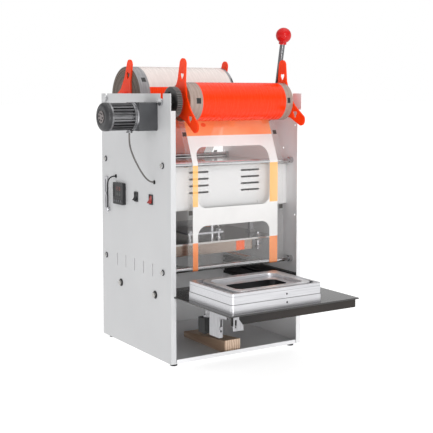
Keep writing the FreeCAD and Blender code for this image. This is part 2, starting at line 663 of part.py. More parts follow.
PIN_R = 1.5
bezels = []
for y, name in ((BLACK_SWITCH_Y, "rocker_black"), (RED_SWITCH_Y, "rocker_red")):
    frame = rounded_x(-HALF_W - 2.2, -HALF_W, y - 7.9, y + 7.9, SWITCH_Z - 11, SWITCH_Z + 11, 1.2)
    tub = box(-HALF_W - 0.5, -HALF_W + 16, y - 6.4, y + 6.4, SWITCH_Z - 9.4, SWITCH_Z + 9.4)
    bezel = frame.fuse(tub).removeSplitter()
    bezel = bezel.cut(box(-HALF_W - 3, -HALF_W + 12, y - 5.6, y + 5.6, SWITCH_Z - 8.8, SWITCH_Z + 8.8))
    # pivot is 3 mm behind the panel face, the top half is pushed in
    px = -HALF_W + 3.0
    bezels.append(bezel.cut(cyl_y(PIN_R + RUN, px, y - 7, y + 7, SWITCH_Z)))
    points = [Vector(px - 3.6, y - 5.2, SWITCH_Z + 8.0), Vector(px - 5.6, y - 5.2, SWITCH_Z),
              Vector(px - 11.4, y - 5.2, SWITCH_Z - 7.6), Vector(px - 8.6, y - 5.2, SWITCH_Z - 8.2),
              Vector(px + 1.5, y - 5.2, SWITCH_Z - 4.5), Vector(px + 3.5, y - 5.2, SWITCH_Z),
              Vector(px + 1.5, y - 5.2, SWITCH_Z + 5.0), Vector(px - 3.6, y - 5.2, SWITCH_Z + 8.0)]
    rocker = Part.Face(Part.makePolygon(points)).extrude(Vector(0, 10.4, 0))
    save(name, join(rocker, [cyl_y(PIN_R, px, y - 6.3, y + 6.3, SWITCH_Z)]))
save("switch_bezels", bezels)

# Sensor bracket ------------------------------------------------------------

SENSOR_END_X = -175.5
SENSOR_END_Y = 124.0
SB_Y = 138.0
strap = rounded_x(-HALF_W - 3.0, -HALF_W, SB_Y - 8, SB_Y + 8, 304.0, 384.0, 2.0)
strap = strap.cut([slot_x(-HALF_W - 4, -HALF_W + 1, SB_Y, 310.0, 340.0, 4.2),
                   slot_x(-HALF_W - 4, -HALF_W + 1, SB_Y, 348.0, 378.0, 4.2)])
screw_a = cyl_x(4.2, -HALF_W - 5.0, -HALF_W - 3.0, SB_Y, 344.0)
sleeve = cyl_z(2.8, SENSOR_END_X, SENSOR_END_Y, 303.0, 312.0)
clamp = box(SENSOR_END_X - 2.0, -HALF_W, SENSOR_END_Y, SB_Y - 7, 305.0, 311.0)
save("sensor_bracket", join(strap, [screw_a, clamp, sleeve]))

# Head ----------------------------------------------------------------------

guides = []
for x in (-GUIDE_X, GUIDE_X):
    rod = cyl_z(GUIDE_R, x, GUIDE_Y, 207.0, HOUSING_BOTTOM)
    collar = cyl_z(9.0, x, GUIDE_Y, HOUSING_BOTTOM - 6, HOUSING_BOTTOM)
    guides.append(join(rod, [collar]))
save("guide_rods", guides)

hp = box(-159.5, 136.0, -112.0, 88.0, HEAD_PLATE_Z, HEAD_PLATE_Z + 4)
bush = []
for x in (-GUIDE_X, GUIDE_X):
    bush.append(cyl_z(9.0, x, GUIDE_Y, HEAD_PLATE_Z - 8, HEAD_PLATE_Z + 8))
hp = join(hp, bush)
for x in (-GUIDE_X, GUIDE_X):
    hp = hp.cut(cyl_z(GUIDE_R + RUN, x, GUIDE_Y, HEAD_PLATE_Z - 9, HEAD_PLATE_Z + 9))
save("head_plate", hp)

block = rounded_z(MOULD_LEFT, MOULD_RIGHT, -110.5, 54.0, BLOCK_BOTTOM + 4, HEAD_PLATE_Z, 6)
sole = rounded_z(MOULD_LEFT + 12, MOULD_RIGHT - 12, -98.5, 42.0, BLOCK_BOTTOM, BLOCK_BOTTOM + 4, 20)
block = join(block, [sole])
block = block.cut(rounded_z(mould_cx - 76, mould_cx + 76, -28.25 - 48, -28.25 + 48,
                            BLOCK_BOTTOM - 1, BLOCK_BOTTOM + 6, 16))
save("heating_block", block)

HP_TOP = HEAD_PLATE_Z + 4
upper_plate = box(-86.0, 6.0, -92.0, 10.0, 266.0, 270.0)
posts = []
for x in (-78.0, -2.0):
    for y in (-84.0, 2.0):
        posts.append(cyl_z(3.0, x, y, HP_TOP, 274.0))
        posts.append(hex_z(10.0, x, y, 270.0, 274.5))
        posts.append(cyl_z(5.5, x, y, HP_TOP, 257.0))
posts.append(cyl_z(4.0, -20.0, -84.0, HP_TOP, 292.0))
posts.append(cyl_z(7.5, -20.0, -84.0, 285.0, 292.0))
save("head_upper_plate", join(upper_plate, posts))

bracket = box(78.0, 132.0, -62.0, -59.0, BLOCK_BOTTOM + 1, HEAD_PLATE_Z)
for x in (90.0, 118.0):
    hole = box(x - 4.5, x + 4.5, -64.0, -57.0, BLOCK_BOTTOM + 8, HEAD_PLATE_Z - 9)
    hole = hole.fuse(cyl_y(4.5, x, -64.0, -57.0, BLOCK_BOTTOM + 8))
    hole = hole.fuse(cyl_y(4.5, x, -64.0, -57.0, HEAD_PLATE_Z - 9))
    bracket = bracket.cut(hole)
stud = cyl_z(4.0, 94.0, -100.0, BLOCK_BOTTOM + 1, HEAD_PLATE_Z)
nut_a = hex_z(12.0, 94.0, -100.0, BLOCK_BOTTOM + 4, BLOCK_BOTTOM + 10)
nut_b = hex_z(12.0, 94.0, -100.0, HEAD_PLATE_Z - 5, HEAD_PLATE_Z)
nut_c = hex_z(12.0, 94.0, -100.0, HP_TOP, HP_TOP + 6)
stud = join(stud, [nut_a, nut_b])
top_bolt = join(cyl_z(4.0, 94.0, -100.0, HP_TOP, HP_TOP + 10), [nut_c])
left_stud = cyl_z(4.5, -154.0, -104.0, BLOCK_BOTTOM - 8, HEAD_PLATE_Z)
save("head_bracket", [bracket, stud, top_bolt, left_stud])


def rack(x):
    """A toothed bar whose teeth face +Y, a tooth centred at the lever shaft's height."""
    pitch = math.pi * LIFT_MODULE
    tan20 = math.tan(math.radians(20))
    line = rack_y
    half_tip = pitch / 4 - BACKLASH / 2 - LIFT_MODULE * tan20
    half_root = pitch / 4 - BACKLASH / 2 + 1.25 * LIFT_MODULE * tan20
    z0 = HP_TOP
    z1 = 408.0
    root_y = line - 1.25 * LIFT_MODULE
    tip_y = line + LIFT_MODULE
    points = [Vector(x - 5, line - 9.0, z0), Vector(x - 5, root_y, z0)]
    first = -int((LEVER_Z - 350.0) / pitch)
    last = int((404.0 - LEVER_Z) / pitch)
    for i in range(first, last + 1):
        zc = LEVER_Z + i * pitch
        points.append(Vector(x - 5, root_y, zc - half_root))
        points.append(Vector(x - 5, tip_y, zc - half_tip))
        points.append(Vector(x - 5, tip_y, zc + half_tip))
        points.append(Vector(x - 5, root_y, zc + half_root))
    points.append(Vector(x - 5, root_y, z1))
    points.append(Vector(x - 5, line - 9.0, z1))
    points.append(points[0])
    bar = Part.Face(Part.makePolygon(points)).extrude(Vector(10, 0, 0))
    foot = box(x - 8, x + 8, line - 14, line + 6, z0, z0 + 5)
    return join(bar, [foot])


save("lift_racks", [rack(-RACK_X), rack(RACK_X)])

# Lever ---------------------------------------------------------------------

shaft = cyl_x(LEVER_SHAFT_R, LEVER_SHAFT_END, HALF_W + 24, LEVER_Y, LEVER_Z)
nut = hex_x(15.0, HALF_W + 24, HALF_W + 30, LEVER_Y, LEVER_Z)
save("lever_shaft", join(shaft, [nut]))
phase = math.pi + math.pi / LIFT_TEETH
pinions = []
for s in (-1, 1):
    gear = spur_gear(LIFT_MODULE, LIFT_TEETH, s * RACK_X - 6, s * RACK_X + 6, LEVER_Y, LEVER_Z, phase)
    gear = with_hub(gear, s * RACK_X - 6, s * RACK_X + 6, LEVER_Y, LEVER_Z, LEVER_SHAFT_R, 14.0,
                    s * RACK_X + s * 14)
    pinions.append(gear)
save("lift_pinions", pinions)

lean = math.radians(11.2)
along = Vector(0, -math.sin(lean), math.cos(lean))
foot_point = Vector(LEVER_X, LEVER_Y, LEVER_Z)
hub = cyl_x(15.0, HALF_W + 8, HALF_W + 23, LEVER_Y, LEVER_Z)
hub = hub.cut(cyl_x(LEVER_SHAFT_R, HALF_W, HALF_W + 30, LEVER_Y, LEVER_Z))
handle = Part.makeCylinder(6.0, 326.0, foot_point + along * 12, along)
save("lever_arm", hub.fuse(handle).removeSplitter())
ball_centre = foot_point + along * 352.0
ball = Part.makeSphere(18.0, ball_centre)
neck = Part.makeCylinder(9.0, 6.0, ball_centre - along * 20.5, along)
ball = ball.fuse(neck).removeSplitter()
ball = ball.cut(Part.makeCylinder(6.0, 330.0, foot_point + along * 8.0, along))
save("lever_knob", ball)

# Return springs ------------------------------------------------------------

def coil(x, y, z0, z1, radius, wire, turns):
    pitch = (z1 - z0 - 2 * wire) / turns
    path = Part.makeHelix(pitch, z1 - z0 - 2 * wire, radius)
    profile = Part.Wire([Part.makeCircle(wire, Vector(radius, 0, 0), Vector(0, 1, 0))])
    spring = Part.Wire(path).makePipeShell([profile], True, True)
    spring.translate(Vector(x, y, z0 + wire))
    return spring


spring_top = HOUSING_BOTTOM - 6
save("head_springs", [coil(-GUIDE_X, GUIDE_Y, HEAD_PLATE_Z + 8, spring_top, 7.4, 0.9, 11),
                      coil(GUIDE_X, GUIDE_Y, HEAD_PLATE_Z + 8, spring_top, 7.4, 0.9, 11)])

# Film web ------------------------------------------------------------------

def strip(y0, z0, y1, z1):
    """A flat run of film between two points, to the left of the direction of travel."""
    length = math.hypot(y1 - y0, z1 - z0)
    ny = -(z1 - z0) / length * FILM_T
    nz = (y1 - y0) / length * FILM_T
    points = [Vector(FILM_LEFT, y0, z0), Vector(FILM_LEFT, y1, z1), Vector(FILM_LEFT, y1 + ny, z1 + nz),
              Vector(FILM_LEFT, y0 + ny, z0 + nz), Vector(FILM_LEFT, y0, z0)]
    return Part.Face(Part.makePolygon(points)).extrude(Vector(FILM_RIGHT - FILM_LEFT, 0, 0))


def quarter(y, z, sign):
    """The film's quarter turn under a lower rod."""
    r = ROD_R + FILM_GAP
    ring = cyl_x(r + FILM_T, FILM_LEFT, FILM_RIGHT, y, z).cut(cyl_x(r, FILM_LEFT, FILM_RIGHT, y, z))
    near = box(FILM_LEFT - 1, FILM_RIGHT + 1, min(y, y + sign * 20), max(y, y + sign * 20), z - 20, z)
    return ring.common(near)


def tangent_run(rod_y, rod_z, rod_r, roll_y, roll_z, roll_r, side):
    """A run that crosses between a rod and a roll: in front of the rod and behind the roll
    where side is 1, behind the rod and in front of the roll where side is -1."""
    span = math.hypot(roll_y - rod_y, roll_z - rod_z)
    lean = math.asin((rod_r + roll_r) / span) + side * math.atan2(roll_y - rod_y, roll_z - rod_z)
    ny = side * math.cos(lean)
    nz = -math.sin(lean)
    return (rod_y - rod_r * ny, rod_z - rod_r * nz, roll_y + roll_r * ny, roll_z + roll_r * nz)


gap = ROD_R + FILM_GAP
outside = gap + FILM_T
web = []
run = tangent_run(ROD_REAR_Y, ROD_UPPER_Z, outside, SUPPLY_Y, SUPPLY_Z, SUPPLY_R + FILM_GAP, -1)
web.append(strip(*run))
web.append(strip(ROD_REAR_Y + outside, ROD_LOWER_Z, ROD_REAR_Y + outside, ROD_UPPER_Z))
web.append(quarter(ROD_REAR_Y, ROD_LOWER_Z, 1))
web.append(strip(ROD_FRONT_Y, ROD_LOWER_Z - outside, ROD_REAR_Y, ROD_LOWER_Z - outside))
web.append(quarter(ROD_FRONT_Y, ROD_LOWER_Z, -1))
web.append(strip(ROD_FRONT_Y - gap, ROD_LOWER_Z, ROD_FRONT_Y - gap, ROD_UPPER_Z))
run = tangent_run(ROD_FRONT_Y, ROD_UPPER_Z, gap, TAKEUP_Y, TAKEUP_Z, TAKEUP_R + FILM_GAP + FILM_T, 1)
web.append(strip(*run))
save("film_web", web)

# Cables --------------------------------------------------------------------

def cable(points, diameter):
    """A round cable along straight runs joined by tangent arcs."""
    edges = []
    start = points[0]
    for i in range(1, len(points) - 1):
        before = points[i] - points[i - 1]
        after = points[i + 1] - points[i]
        turn = before.getAngle(after)
        reach = 0.45 * min(before.Length, after.Length)
        radius = reach / math.tan(turn / 2)
        print("cable bend radius", round(radius, 1))
        u = Vector(before).normalize()
        v = Vector(after).normalize()
        enter = points[i] - u * reach
        leave = points[i] + v * reach
        bisector = (v - u).normalize()
        centre = points[i] + bisector * (radius / math.cos(turn / 2))
        middle = centre - bisector * radius
        edges.append(Part.LineSegment(start, enter).toShape())
        edges.append(Part.Arc(enter, middle, leave).toShape())
        start = leave
    edges.append(Part.LineSegment(start, points[-1]).toShape())
    path = Part.Wire(edges)
    first = (points[1] - points[0]).normalize()
    profile = Part.Wire([Part.makeCircle(diameter / 2, points[0], first)])
    tube = path.makePipeShell([profile], True, False)
    print("cable volume over section times length",
          round(tube.Volume / (math.pi * diameter ** 2 / 4 * path.Length), 4), round(path.Length, 1))
    return tube


motor_route = [Vector(GLAND_X, MOTOR_Y, GLAND_Z), Vector(-221.5, -76.5, 483), Vector(-218, -71.5, 468),
               Vector(-212.5, -69, 453.5), Vector(-206, -69.5, 438), Vector(-199.5, -72.5, 423.5),
               Vector(-194, -78, 410), Vector(-189, -84.5, 399.5), Vector(-183, -89.5, 391.8),
               Vector(-175.5, -92, 388.3), Vector(-HALF_W + 3, MOTOR_HOLE_Y, GROMMET_Z)]
save("motor_cable", cable(motor_route, MOTOR_CABLE_D))
sensor_route = [Vector(-HALF_W + 3, SENSOR_HOLE_Y, GROMMET_Z), Vector(-175.5, 90.5, 388),
                Vector(-181.5, 94.5, 385.8), Vector(-184, 101.5, 379.5), Vector(-182.5, 109.5, 370),
                Vector(-179.5, 116, 357.5), Vector(-177, 120.5, 343), Vector(-175.8, 123, 327.5),
                Vector(SENSOR_END_X, SENSOR_END_Y, 312)]
save("sensor_cable", cable(sensor_route, SENSOR_CABLE_D))
grommets = []
for y, d in ((MOTOR_HOLE_Y, MOTOR_CABLE_D), (SENSOR_HOLE_Y, SENSOR_CABLE_D)):
    lip_out = Part.makeCone(4.6, 3.6, 1.6, Vector(-HALF_W, y, GROMMET_Z), Vector(-1, 0, 0))
    neck = cyl_x(GROMMET_R, -HALF_W - 0.1, -INNER_X + 0.1, y, GROMMET_Z)
    lip_in = cyl_x(4.6, -INNER_X, -INNER_X + 1.9, y, GROMMET_Z)
    collar = join(lip_out, [neck, lip_in])
    grommets.append(collar.cut(cyl_x(d / 2, -HALF_W - 4, -INNER_X + 4, y, GROMMET_Z)))
save("cable_grommets", grommets)

# Wooden block on the floor -------------------------------------------------

FLOOR = FOOT_HEIGHT + SHEET
profile = Part.Face(Part.makePolygon([Vector(-30, -153, FLOOR), Vector(-30, 24, FLOOR),
                                      Vector(-30, 24, FLOOR + 12), Vector(-30, -153, FLOOR + 29),
                                      Vector(-30, -153, FLOOR)]))
save("floor_block", profile.extrude(Vector(41, 0, 0)))
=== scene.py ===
import json
import math

import bmesh
import bpy
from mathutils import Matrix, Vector


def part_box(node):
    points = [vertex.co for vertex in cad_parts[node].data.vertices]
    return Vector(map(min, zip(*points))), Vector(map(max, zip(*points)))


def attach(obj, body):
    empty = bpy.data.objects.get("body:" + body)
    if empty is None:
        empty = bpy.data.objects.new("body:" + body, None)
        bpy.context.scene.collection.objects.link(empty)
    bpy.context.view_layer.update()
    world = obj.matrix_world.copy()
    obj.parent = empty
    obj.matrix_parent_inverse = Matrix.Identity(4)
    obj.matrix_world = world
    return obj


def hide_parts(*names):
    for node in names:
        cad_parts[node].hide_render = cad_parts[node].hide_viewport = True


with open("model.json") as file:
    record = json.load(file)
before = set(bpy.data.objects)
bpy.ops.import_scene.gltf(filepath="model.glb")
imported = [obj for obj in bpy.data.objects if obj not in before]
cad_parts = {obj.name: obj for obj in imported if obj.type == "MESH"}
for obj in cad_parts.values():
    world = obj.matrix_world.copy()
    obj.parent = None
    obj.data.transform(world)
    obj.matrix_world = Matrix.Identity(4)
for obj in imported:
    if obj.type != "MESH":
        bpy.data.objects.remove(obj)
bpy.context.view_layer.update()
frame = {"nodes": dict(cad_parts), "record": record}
NODES = frame["nodes"]

BODY_OF = {}
for body_name, members in frame["record"]["behaviour"]["bodies"].items():
    for member in members:
        BODY_OF[member] = body_name


# ---------------------------------------------------------------- camera
VIEW_YAW = math.radians(32.541)
VIEW_PITCH = math.radians(4.5)
EYE = Vector((-1.1525, -1.8784, 0.5786))

camera_data = bpy.data.cameras.new("camera")
camera_data.lens = 79.56
camera_data.sensor_width = 36.0
camera_data.shift_y = -0.112
camera_data.clip_end = 60.0
camera = bpy.data.objects.new("camera", camera_data)
bpy.context.collection.objects.link(camera)
camera.location = EYE
camera.rotation_euler = (math.radians(90) - VIEW_PITCH, 0.0, -VIEW_YAW)
bpy.context.scene.camera = camera


# ---------------------------------------------------------------- material helpers
class Graph:
    """A small helper that adds shader nodes and links them."""

    def __init__(self, name):
        self.material = bpy.data.materials.new(name)
        self.material.use_nodes = True
        self.tree = self.material.node_tree
        self.shader = self.tree.nodes["Principled BSDF"]
        self._coords = None

    def add(self, kind, **values):
        node = self.tree.nodes.new(kind)
        for key, value in values.items():
            setattr(node, key, value)
        return node

    def link(self, out, into):
        self.tree.links.new(out, into)

    def set(self, **values):
        for key, value in values.items():
            self.shader.inputs[key.replace("_", " ")].default_value = value

    def coords(self):
        if self._coords is None:
            self._coords = self.add("ShaderNodeTexCoord").outputs["Object"]
        return self._coords

    def scaled(self, scale):
        mapping = self.add("ShaderNodeMapping")
        mapping.inputs["Scale"].default_value = scale
        self.link(self.coords(), mapping.inputs["Vector"])
        return mapping.outputs["Vector"]

    def noise(self, scale, detail=3.0, stretch=(1, 1, 1), rough=0.5):
        node = self.add("ShaderNodeTexNoise")
        node.inputs["Scale"].default_value = scale
        node.inputs["Detail"].default_value = detail
        node.inputs["Roughness"].default_value = rough
        self.link(self.scaled(stretch), node.inputs["Vector"])
        return node.outputs["Fac"]

    def ramp(self, fac, stops):
        node = self.add("ShaderNodeValToRGB")
        while len(node.color_ramp.elements) < len(stops):
            node.color_ramp.elements.new(0.5)
        for element, (place, colour) in zip(node.color_ramp.elements, stops):
            element.position = place
            element.color = (*colour, 1.0)
        self.link(fac, node.inputs["Fac"])
        return node.outputs["Color"]

    def span(self, fac, low, high, from_low=0.0, from_high=1.0):
        node = self.add("ShaderNodeMapRange")
        node.inputs["From Min"].default_value = from_low
        node.inputs["From Max"].default_value = from_high
        node.inputs["To Min"].default_value = low
        node.inputs["To Max"].default_value = high
        self.link(fac, node.inputs["Value"])
        return node.outputs["Result"]

    def math(self, operation, a, b=None, clamp=False):
        node = self.add("ShaderNodeMath", operation=operation, use_clamp=clamp)
        for socket, value in zip(node.inputs, (a, b)):
            if value is None:
                continue
            if isinstance(value, (int, float)):
                socket.default_value = value
            else:
                self.link(value, socket)
        return node.outputs["Value"]

    def between(self, value, low, high, soft=0.0003):
        """1 where value is between low and high."""
        up = self.span(value, 0.0, 1.0, low - soft, low + soft)
        down = self.span(value, 1.0, 0.0, high - soft, high + soft)
        return self.math("MULTIPLY", up, down)

    def mix(self, fac, a, b):
        node = self.add("ShaderNodeMix", data_type="RGBA")
        inputs = [s for s in node.inputs if s.type == "RGBA"]
        self.link(fac, node.inputs[0])
        for socket, value in zip(inputs, (a, b)):
            if isinstance(value, tuple):
                socket.default_value = (*value, 1.0)
            else:
                self.link(value, socket)
        return [s for s in node.outputs if s.type == "RGBA"][0]

    def separate(self, vector=None):
        node = self.add("ShaderNodeSeparateXYZ")
        self.link(vector if vector is not None else self.coords(), node.inputs["Vector"])
        return node.outputs["X"], node.outputs["Y"], node.outputs["Z"]

    def bump(self, height, strength, distance=0.0004):
        node = self.add("ShaderNodeBump")
        node.inputs["Strength"].default_value = strength
        node.inputs["Distance"].default_value = distance
        self.link(height, node.inputs["Height"])
        self.link(node.outputs["Normal"], self.shader.inputs["Normal"])

    def colour(self, value):
        self.link(value, self.shader.inputs["Base Color"])

    def roughness(self, value):
        self.link(value, self.shader.inputs["Roughness"])


def powder_coat(name, light, shade):
    g = Graph(name)
    grain = g.noise(900.0, 2.0)
    cloud = g.noise(6.0, 4.0)
    g.colour(g.ramp(cloud, [(0.3, shade), (0.7, light)]))
    g.roughness(g.span(grain, 0.36, 0.50))
    g.bump(grain, 0.12, 0.0002)
    g.set(Specular_IOR_Level=0.45)
    return g.material


def brushed(name, light, dark, stretch, rough=0.28, strength=0.10, metallic=1.0):
    g = Graph(name)
    lines = g.noise(420.0, 4.0, stretch, 0.6)
    cloud = g.noise(9.0, 3.0)
    tone = g.mix(g.span(cloud, 0.0, 0.45), g.ramp(lines, [(0.3, dark), (0.7, light)]), light)
    g.colour(tone)
    g.roughness(g.span(lines, rough - 0.07, rough + 0.1))
    g.bump(lines, strength, 0.0002)
    g.set(Metallic=metallic)
    return g.material


def plastic(name, colour, other, rough=0.4, grain_scale=1200.0, strength=0.08, coat=0.0, shine=0.5):
    g = Graph(name)
    grain = g.noise(grain_scale, 2.0)
    cloud = g.noise(25.0, 3.0)
    g.colour(g.ramp(cloud, [(0.35, other), (0.65, colour)]))
    g.roughness(g.span(grain, rough - 0.06, rough + 0.06))
    g.bump(grain, strength, 0.00015)
    g.set(Coat_Weight=coat, Coat_Roughness=0.08, Specular_IOR_Level=shine)
    return g.material


# One white powder coat in three copies of different brightness, painted light and shade: the panel
# copy is darker, and the box copy and the inner copy are lighter, standing for how much light each
# part gets.
WHITE = powder_coat("white_powder_coat_shaded", (0.60, 0.603, 0.61), (0.57, 0.573, 0.582))
LIT_BOX_WHITE = powder_coat("white_coat_lit_box", (0.74, 0.74, 0.74), (0.71, 0.71, 0.71))
LIT_INNER_WHITE = powder_coat("white_coat_lit_inner", (0.84, 0.84, 0.85), (0.80, 0.80, 0.81))
STAINLESS = brushed("stainless_sheet", (0.60, 0.58, 0.56), (0.38, 0.36, 0.35), (0.04, 1, 1), 0.22)
POLISHED = brushed("polished_rod", (0.66, 0.66, 0.67), (0.46, 0.46, 0.47), (0.05, 1, 1), 0.14, 0.04)
CHROME = brushed("dark_chrome", (0.17, 0.17, 0.175), (0.10, 0.10, 0.105), (1, 0.05, 1), 0.12, 0.03)
ZINC = brushed("zinc_plate", (0.56, 0.56, 0.58), (0.40, 0.40, 0.42), (1, 1, 0.15), 0.32, 0.08)
BLACK_STEEL = plastic("black_oxide", (0.022, 0.021, 0.021), (0.012, 0.012, 0.012), 0.45, 700.0,
                      0.1, shine=0.25)
BLACK_PLASTIC = plastic("black_plastic", (0.020, 0.020, 0.022), (0.012, 0.012, 0.013), 0.4,
                        shine=0.35)
GREY_KEY = plastic("key_plastic", (0.09, 0.09, 0.1), (0.07, 0.07, 0.075), 0.5)
RUBBER = plastic("rubber", (0.012, 0.012, 0.013), (0.008, 0.008, 0.008), 0.7, 600.0, 0.2, shine=0.1)
RED = plastic("red_gloss", (0.56, 0.008, 0.008), (0.48, 0.005, 0.006), 0.22, 400.0, 0.02,
              shine=0.25)
RED_ROCKER = plastic("red_rocker", (0.42, 0.03, 0.02), (0.32, 0.02, 0.015), 0.25, 400.0, 0.02, 0.3)
ORANGE = plastic("orange_star", (0.97, 0.052, 0.002), (0.90, 0.040, 0.001), 0.42, 900.0, 0.05,
                 shine=0.2)
GEARBOX_PAINT = plastic("gearbox_paint", (0.048, 0.05, 0.054), (0.034, 0.035, 0.039), 0.38,
                        800.0, 0.12)
MOTOR_PAINT = brushed("motor_body", (0.30, 0.30, 0.31), (0.10, 0.10, 0.105), (0.1, 1, 1), 0.3,
                      0.1, 0.9)
CAP_PAINT = plastic("motor_cap", (0.028, 0.028, 0.031), (0.018, 0.018, 0.02), 0.35, 600.0, 0.1)
CAP_DISC = brushed("cap_disc", (0.30, 0.27, 0.265), (0.16, 0.14, 0.14), (1, 1, 1), 0.4, 0.1, 0.8)
BRACKET_STEEL = brushed("bracket_steel", (0.46, 0.46, 0.475), (0.30, 0.30, 0.31), (1, 1, 0.15),
                        0.36, 0.08)
CABLE_GREY = plastic("cable_sheath", (0.13, 0.12, 0.115), (0.08, 0.075, 0.07), 0.35, 500.0, 0.08)
BOLT_STEEL = brushed("bolt_steel", (0.50, 0.49, 0.47), (0.30, 0.29, 0.28), (1, 1, 1), 0.22, 0.06)
MARK_DARK = plastic("dark_recess", (0.02, 0.02, 0.02), (0.012, 0.012, 0.012), 0.7, 600.0, 0.05)


def gloss_black():
    g = Graph("black_enamel")
    haze = g.noise(14.0, 4.0)
    fine = g.noise(900.0, 2.0)
    g.colour(g.ramp(haze, [(0.35, (0.012, 0.011, 0.011)), (0.7, (0.022, 0.02, 0.019))]))
    g.roughness(g.span(haze, 0.1, 0.2))
    g.bump(fine, 0.03, 0.0001)
    g.set(Coat_Weight=0.5, Coat_Roughness=0.06)
    return g.material


def deck_steel():
    g = Graph("deck_steel")
    lines = g.noise(300.0, 3.0, (0.05, 1, 1))
    cloud = g.noise(7.0, 3.0)
    g.colour(g.ramp(cloud, [(0.3, (0.46, 0.43, 0.41)), (0.7, (0.6, 0.57, 0.55))]))
    g.roughness(g.span(lines, 0.07, 0.16))
    g.bump(lines, 0.03, 0.0001)
    g.set(Metallic=1.0)
    return g.material


def wood():
    g = Graph("pine")
    rings = g.add("ShaderNodeTexWave", wave_type="BANDS", bands_direction="X")
    rings.inputs["Scale"].default_value = 55.0
    rings.inputs["Distortion"].default_value = 5.0
    rings.inputs["Detail"].default_value = 3.0
    g.link(g.scaled((1, 0.06, 1)), rings.inputs["Vector"])
    fibre = g.noise(500.0, 4.0, (1, 0.03, 1))
    base = g.ramp(rings.outputs["Fac"], [(0.2, (0.56, 0.38, 0.26)), (0.8, (0.80, 0.64, 0.50))])
    g.colour(g.mix(g.span(fibre, 0.0, 0.35), base, (0.48, 0.30, 0.20)))
    g.roughness(g.span(fibre, 0.55, 0.75))
    g.bump(fibre, 0.25, 0.0003)
    return g.material


def skirt_black():
    """Satin black with a slow brownish cast along its length, a painted brownish reflection."""
    g = Graph("skirt_black")
    cloud = g.noise(5.0, 2.0, (1, 0.2, 0.2))
    fine = g.noise(900.0, 2.0)
    g.colour(g.ramp(cloud, [(0.35, (0.010, 0.009, 0.009)), (0.7, (0.024, 0.019, 0.016))]))
    g.roughness(g.span(fine, 0.3, 0.38))
    g.bump(fine, 0.04, 0.0001)
    g.set(Specular_IOR_Level=0.3)
    return g.material


MOULD_LOWER = 0.017


def mould_aluminium():
    """Milled aluminium: dark in the seam between its halves and in the groove, with painted shade
    down the hole.
    """
    g = Graph("mould_aluminium")
    low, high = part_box("mould_base")
    lip_low, lip_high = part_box("mould_rim")
    seam_z = low.z + MOULD_LOWER
    x, y, z = g.separate()
    lines = g.noise(420.0, 4.0, (0.03, 1, 1), 0.6)
    metal = g.ramp(lines, [(0.3, (0.56, 0.56, 0.58)), (0.7, (0.70, 0.70, 0.72))])
    seam = g.between(z, seam_z - 0.0005, seam_z + 0.0005, 0.0002)
    across = g.between(x, lip_low.x + 0.016, lip_high.x - 0.016)
    along = g.between(y, lip_low.y + 0.016, lip_high.y - 0.016)
    # painted shade: the walls of the hole below the lip are coloured near black
    hole_shade = g.math("MULTIPLY", g.math("MULTIPLY", across, along),
                  g.math("LESS_THAN", z, lip_low.z - 0.0004))
    groove_band = g.between(z, lip_low.z - 0.0004, lip_low.z + 0.0002)
    edge_x = g.math("SUBTRACT", 1.0, g.between(x, lip_low.x - 0.001, lip_high.x + 0.001))
    edge_y = g.math("SUBTRACT", 1.0, g.between(y, lip_low.y - 0.001, lip_high.y + 0.001))
    groove = g.math("MULTIPLY", groove_band, g.math("MAXIMUM", edge_x, edge_y))
    tone = g.mix(g.math("MULTIPLY", seam, 0.75), metal, (0.12, 0.12, 0.12))
    tone = g.mix(g.math("MULTIPLY", groove, 0.7), tone, (0.16, 0.16, 0.17))
    tone = g.mix(g.math("MULTIPLY", hole_shade, 0.92), tone, (0.03, 0.03, 0.032))
    g.colour(tone)
    g.roughness(g.span(lines, 0.3, 0.46))
    g.bump(lines, 0.12, 0.0002)
    g.set(Metallic=1.0)
    return g.material


SKIRT = skirt_black()
MOULD = mould_aluminium()
LIP = brushed("lip_aluminium", (0.84, 0.84, 0.85), (0.66, 0.66, 0.68), (0.03, 1, 1), 0.34, 0.12)
ENAMEL = gloss_black()
DECK = deck_steel()
WOOD = wood()


# ---------------------------------------------------------------- rolls
PRINT_LEFT = -0.0925
TAKEUP_PRINT_RIGHT = 0.124
SUPPLY_PRINT_RIGHT = 0.135
STRIPE_LOW = 0.2060
STRIPE_HIGH = 0.2950
PRINT_ORANGE = (0.98, 0.05, 0.002)


def polar(g, y0, z0):
    x, y, z = g.separate()
    dy = g.math("SUBTRACT", y, y0)
    dz = g.math("SUBTRACT", z, z0)
    radius = g.math("SQRT", g.math("ADD", g.math("MULTIPLY", dy, dy), g.math("MULTIPLY", dz, dz)))
    angle = g.math("ARCTAN2", dz, dy)
    return x, radius, angle


def roll_axis(node):
    low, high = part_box(node)
    return (low.y + high.y) / 2, (low.z + high.z) / 2, (high.z - low.z) / 2


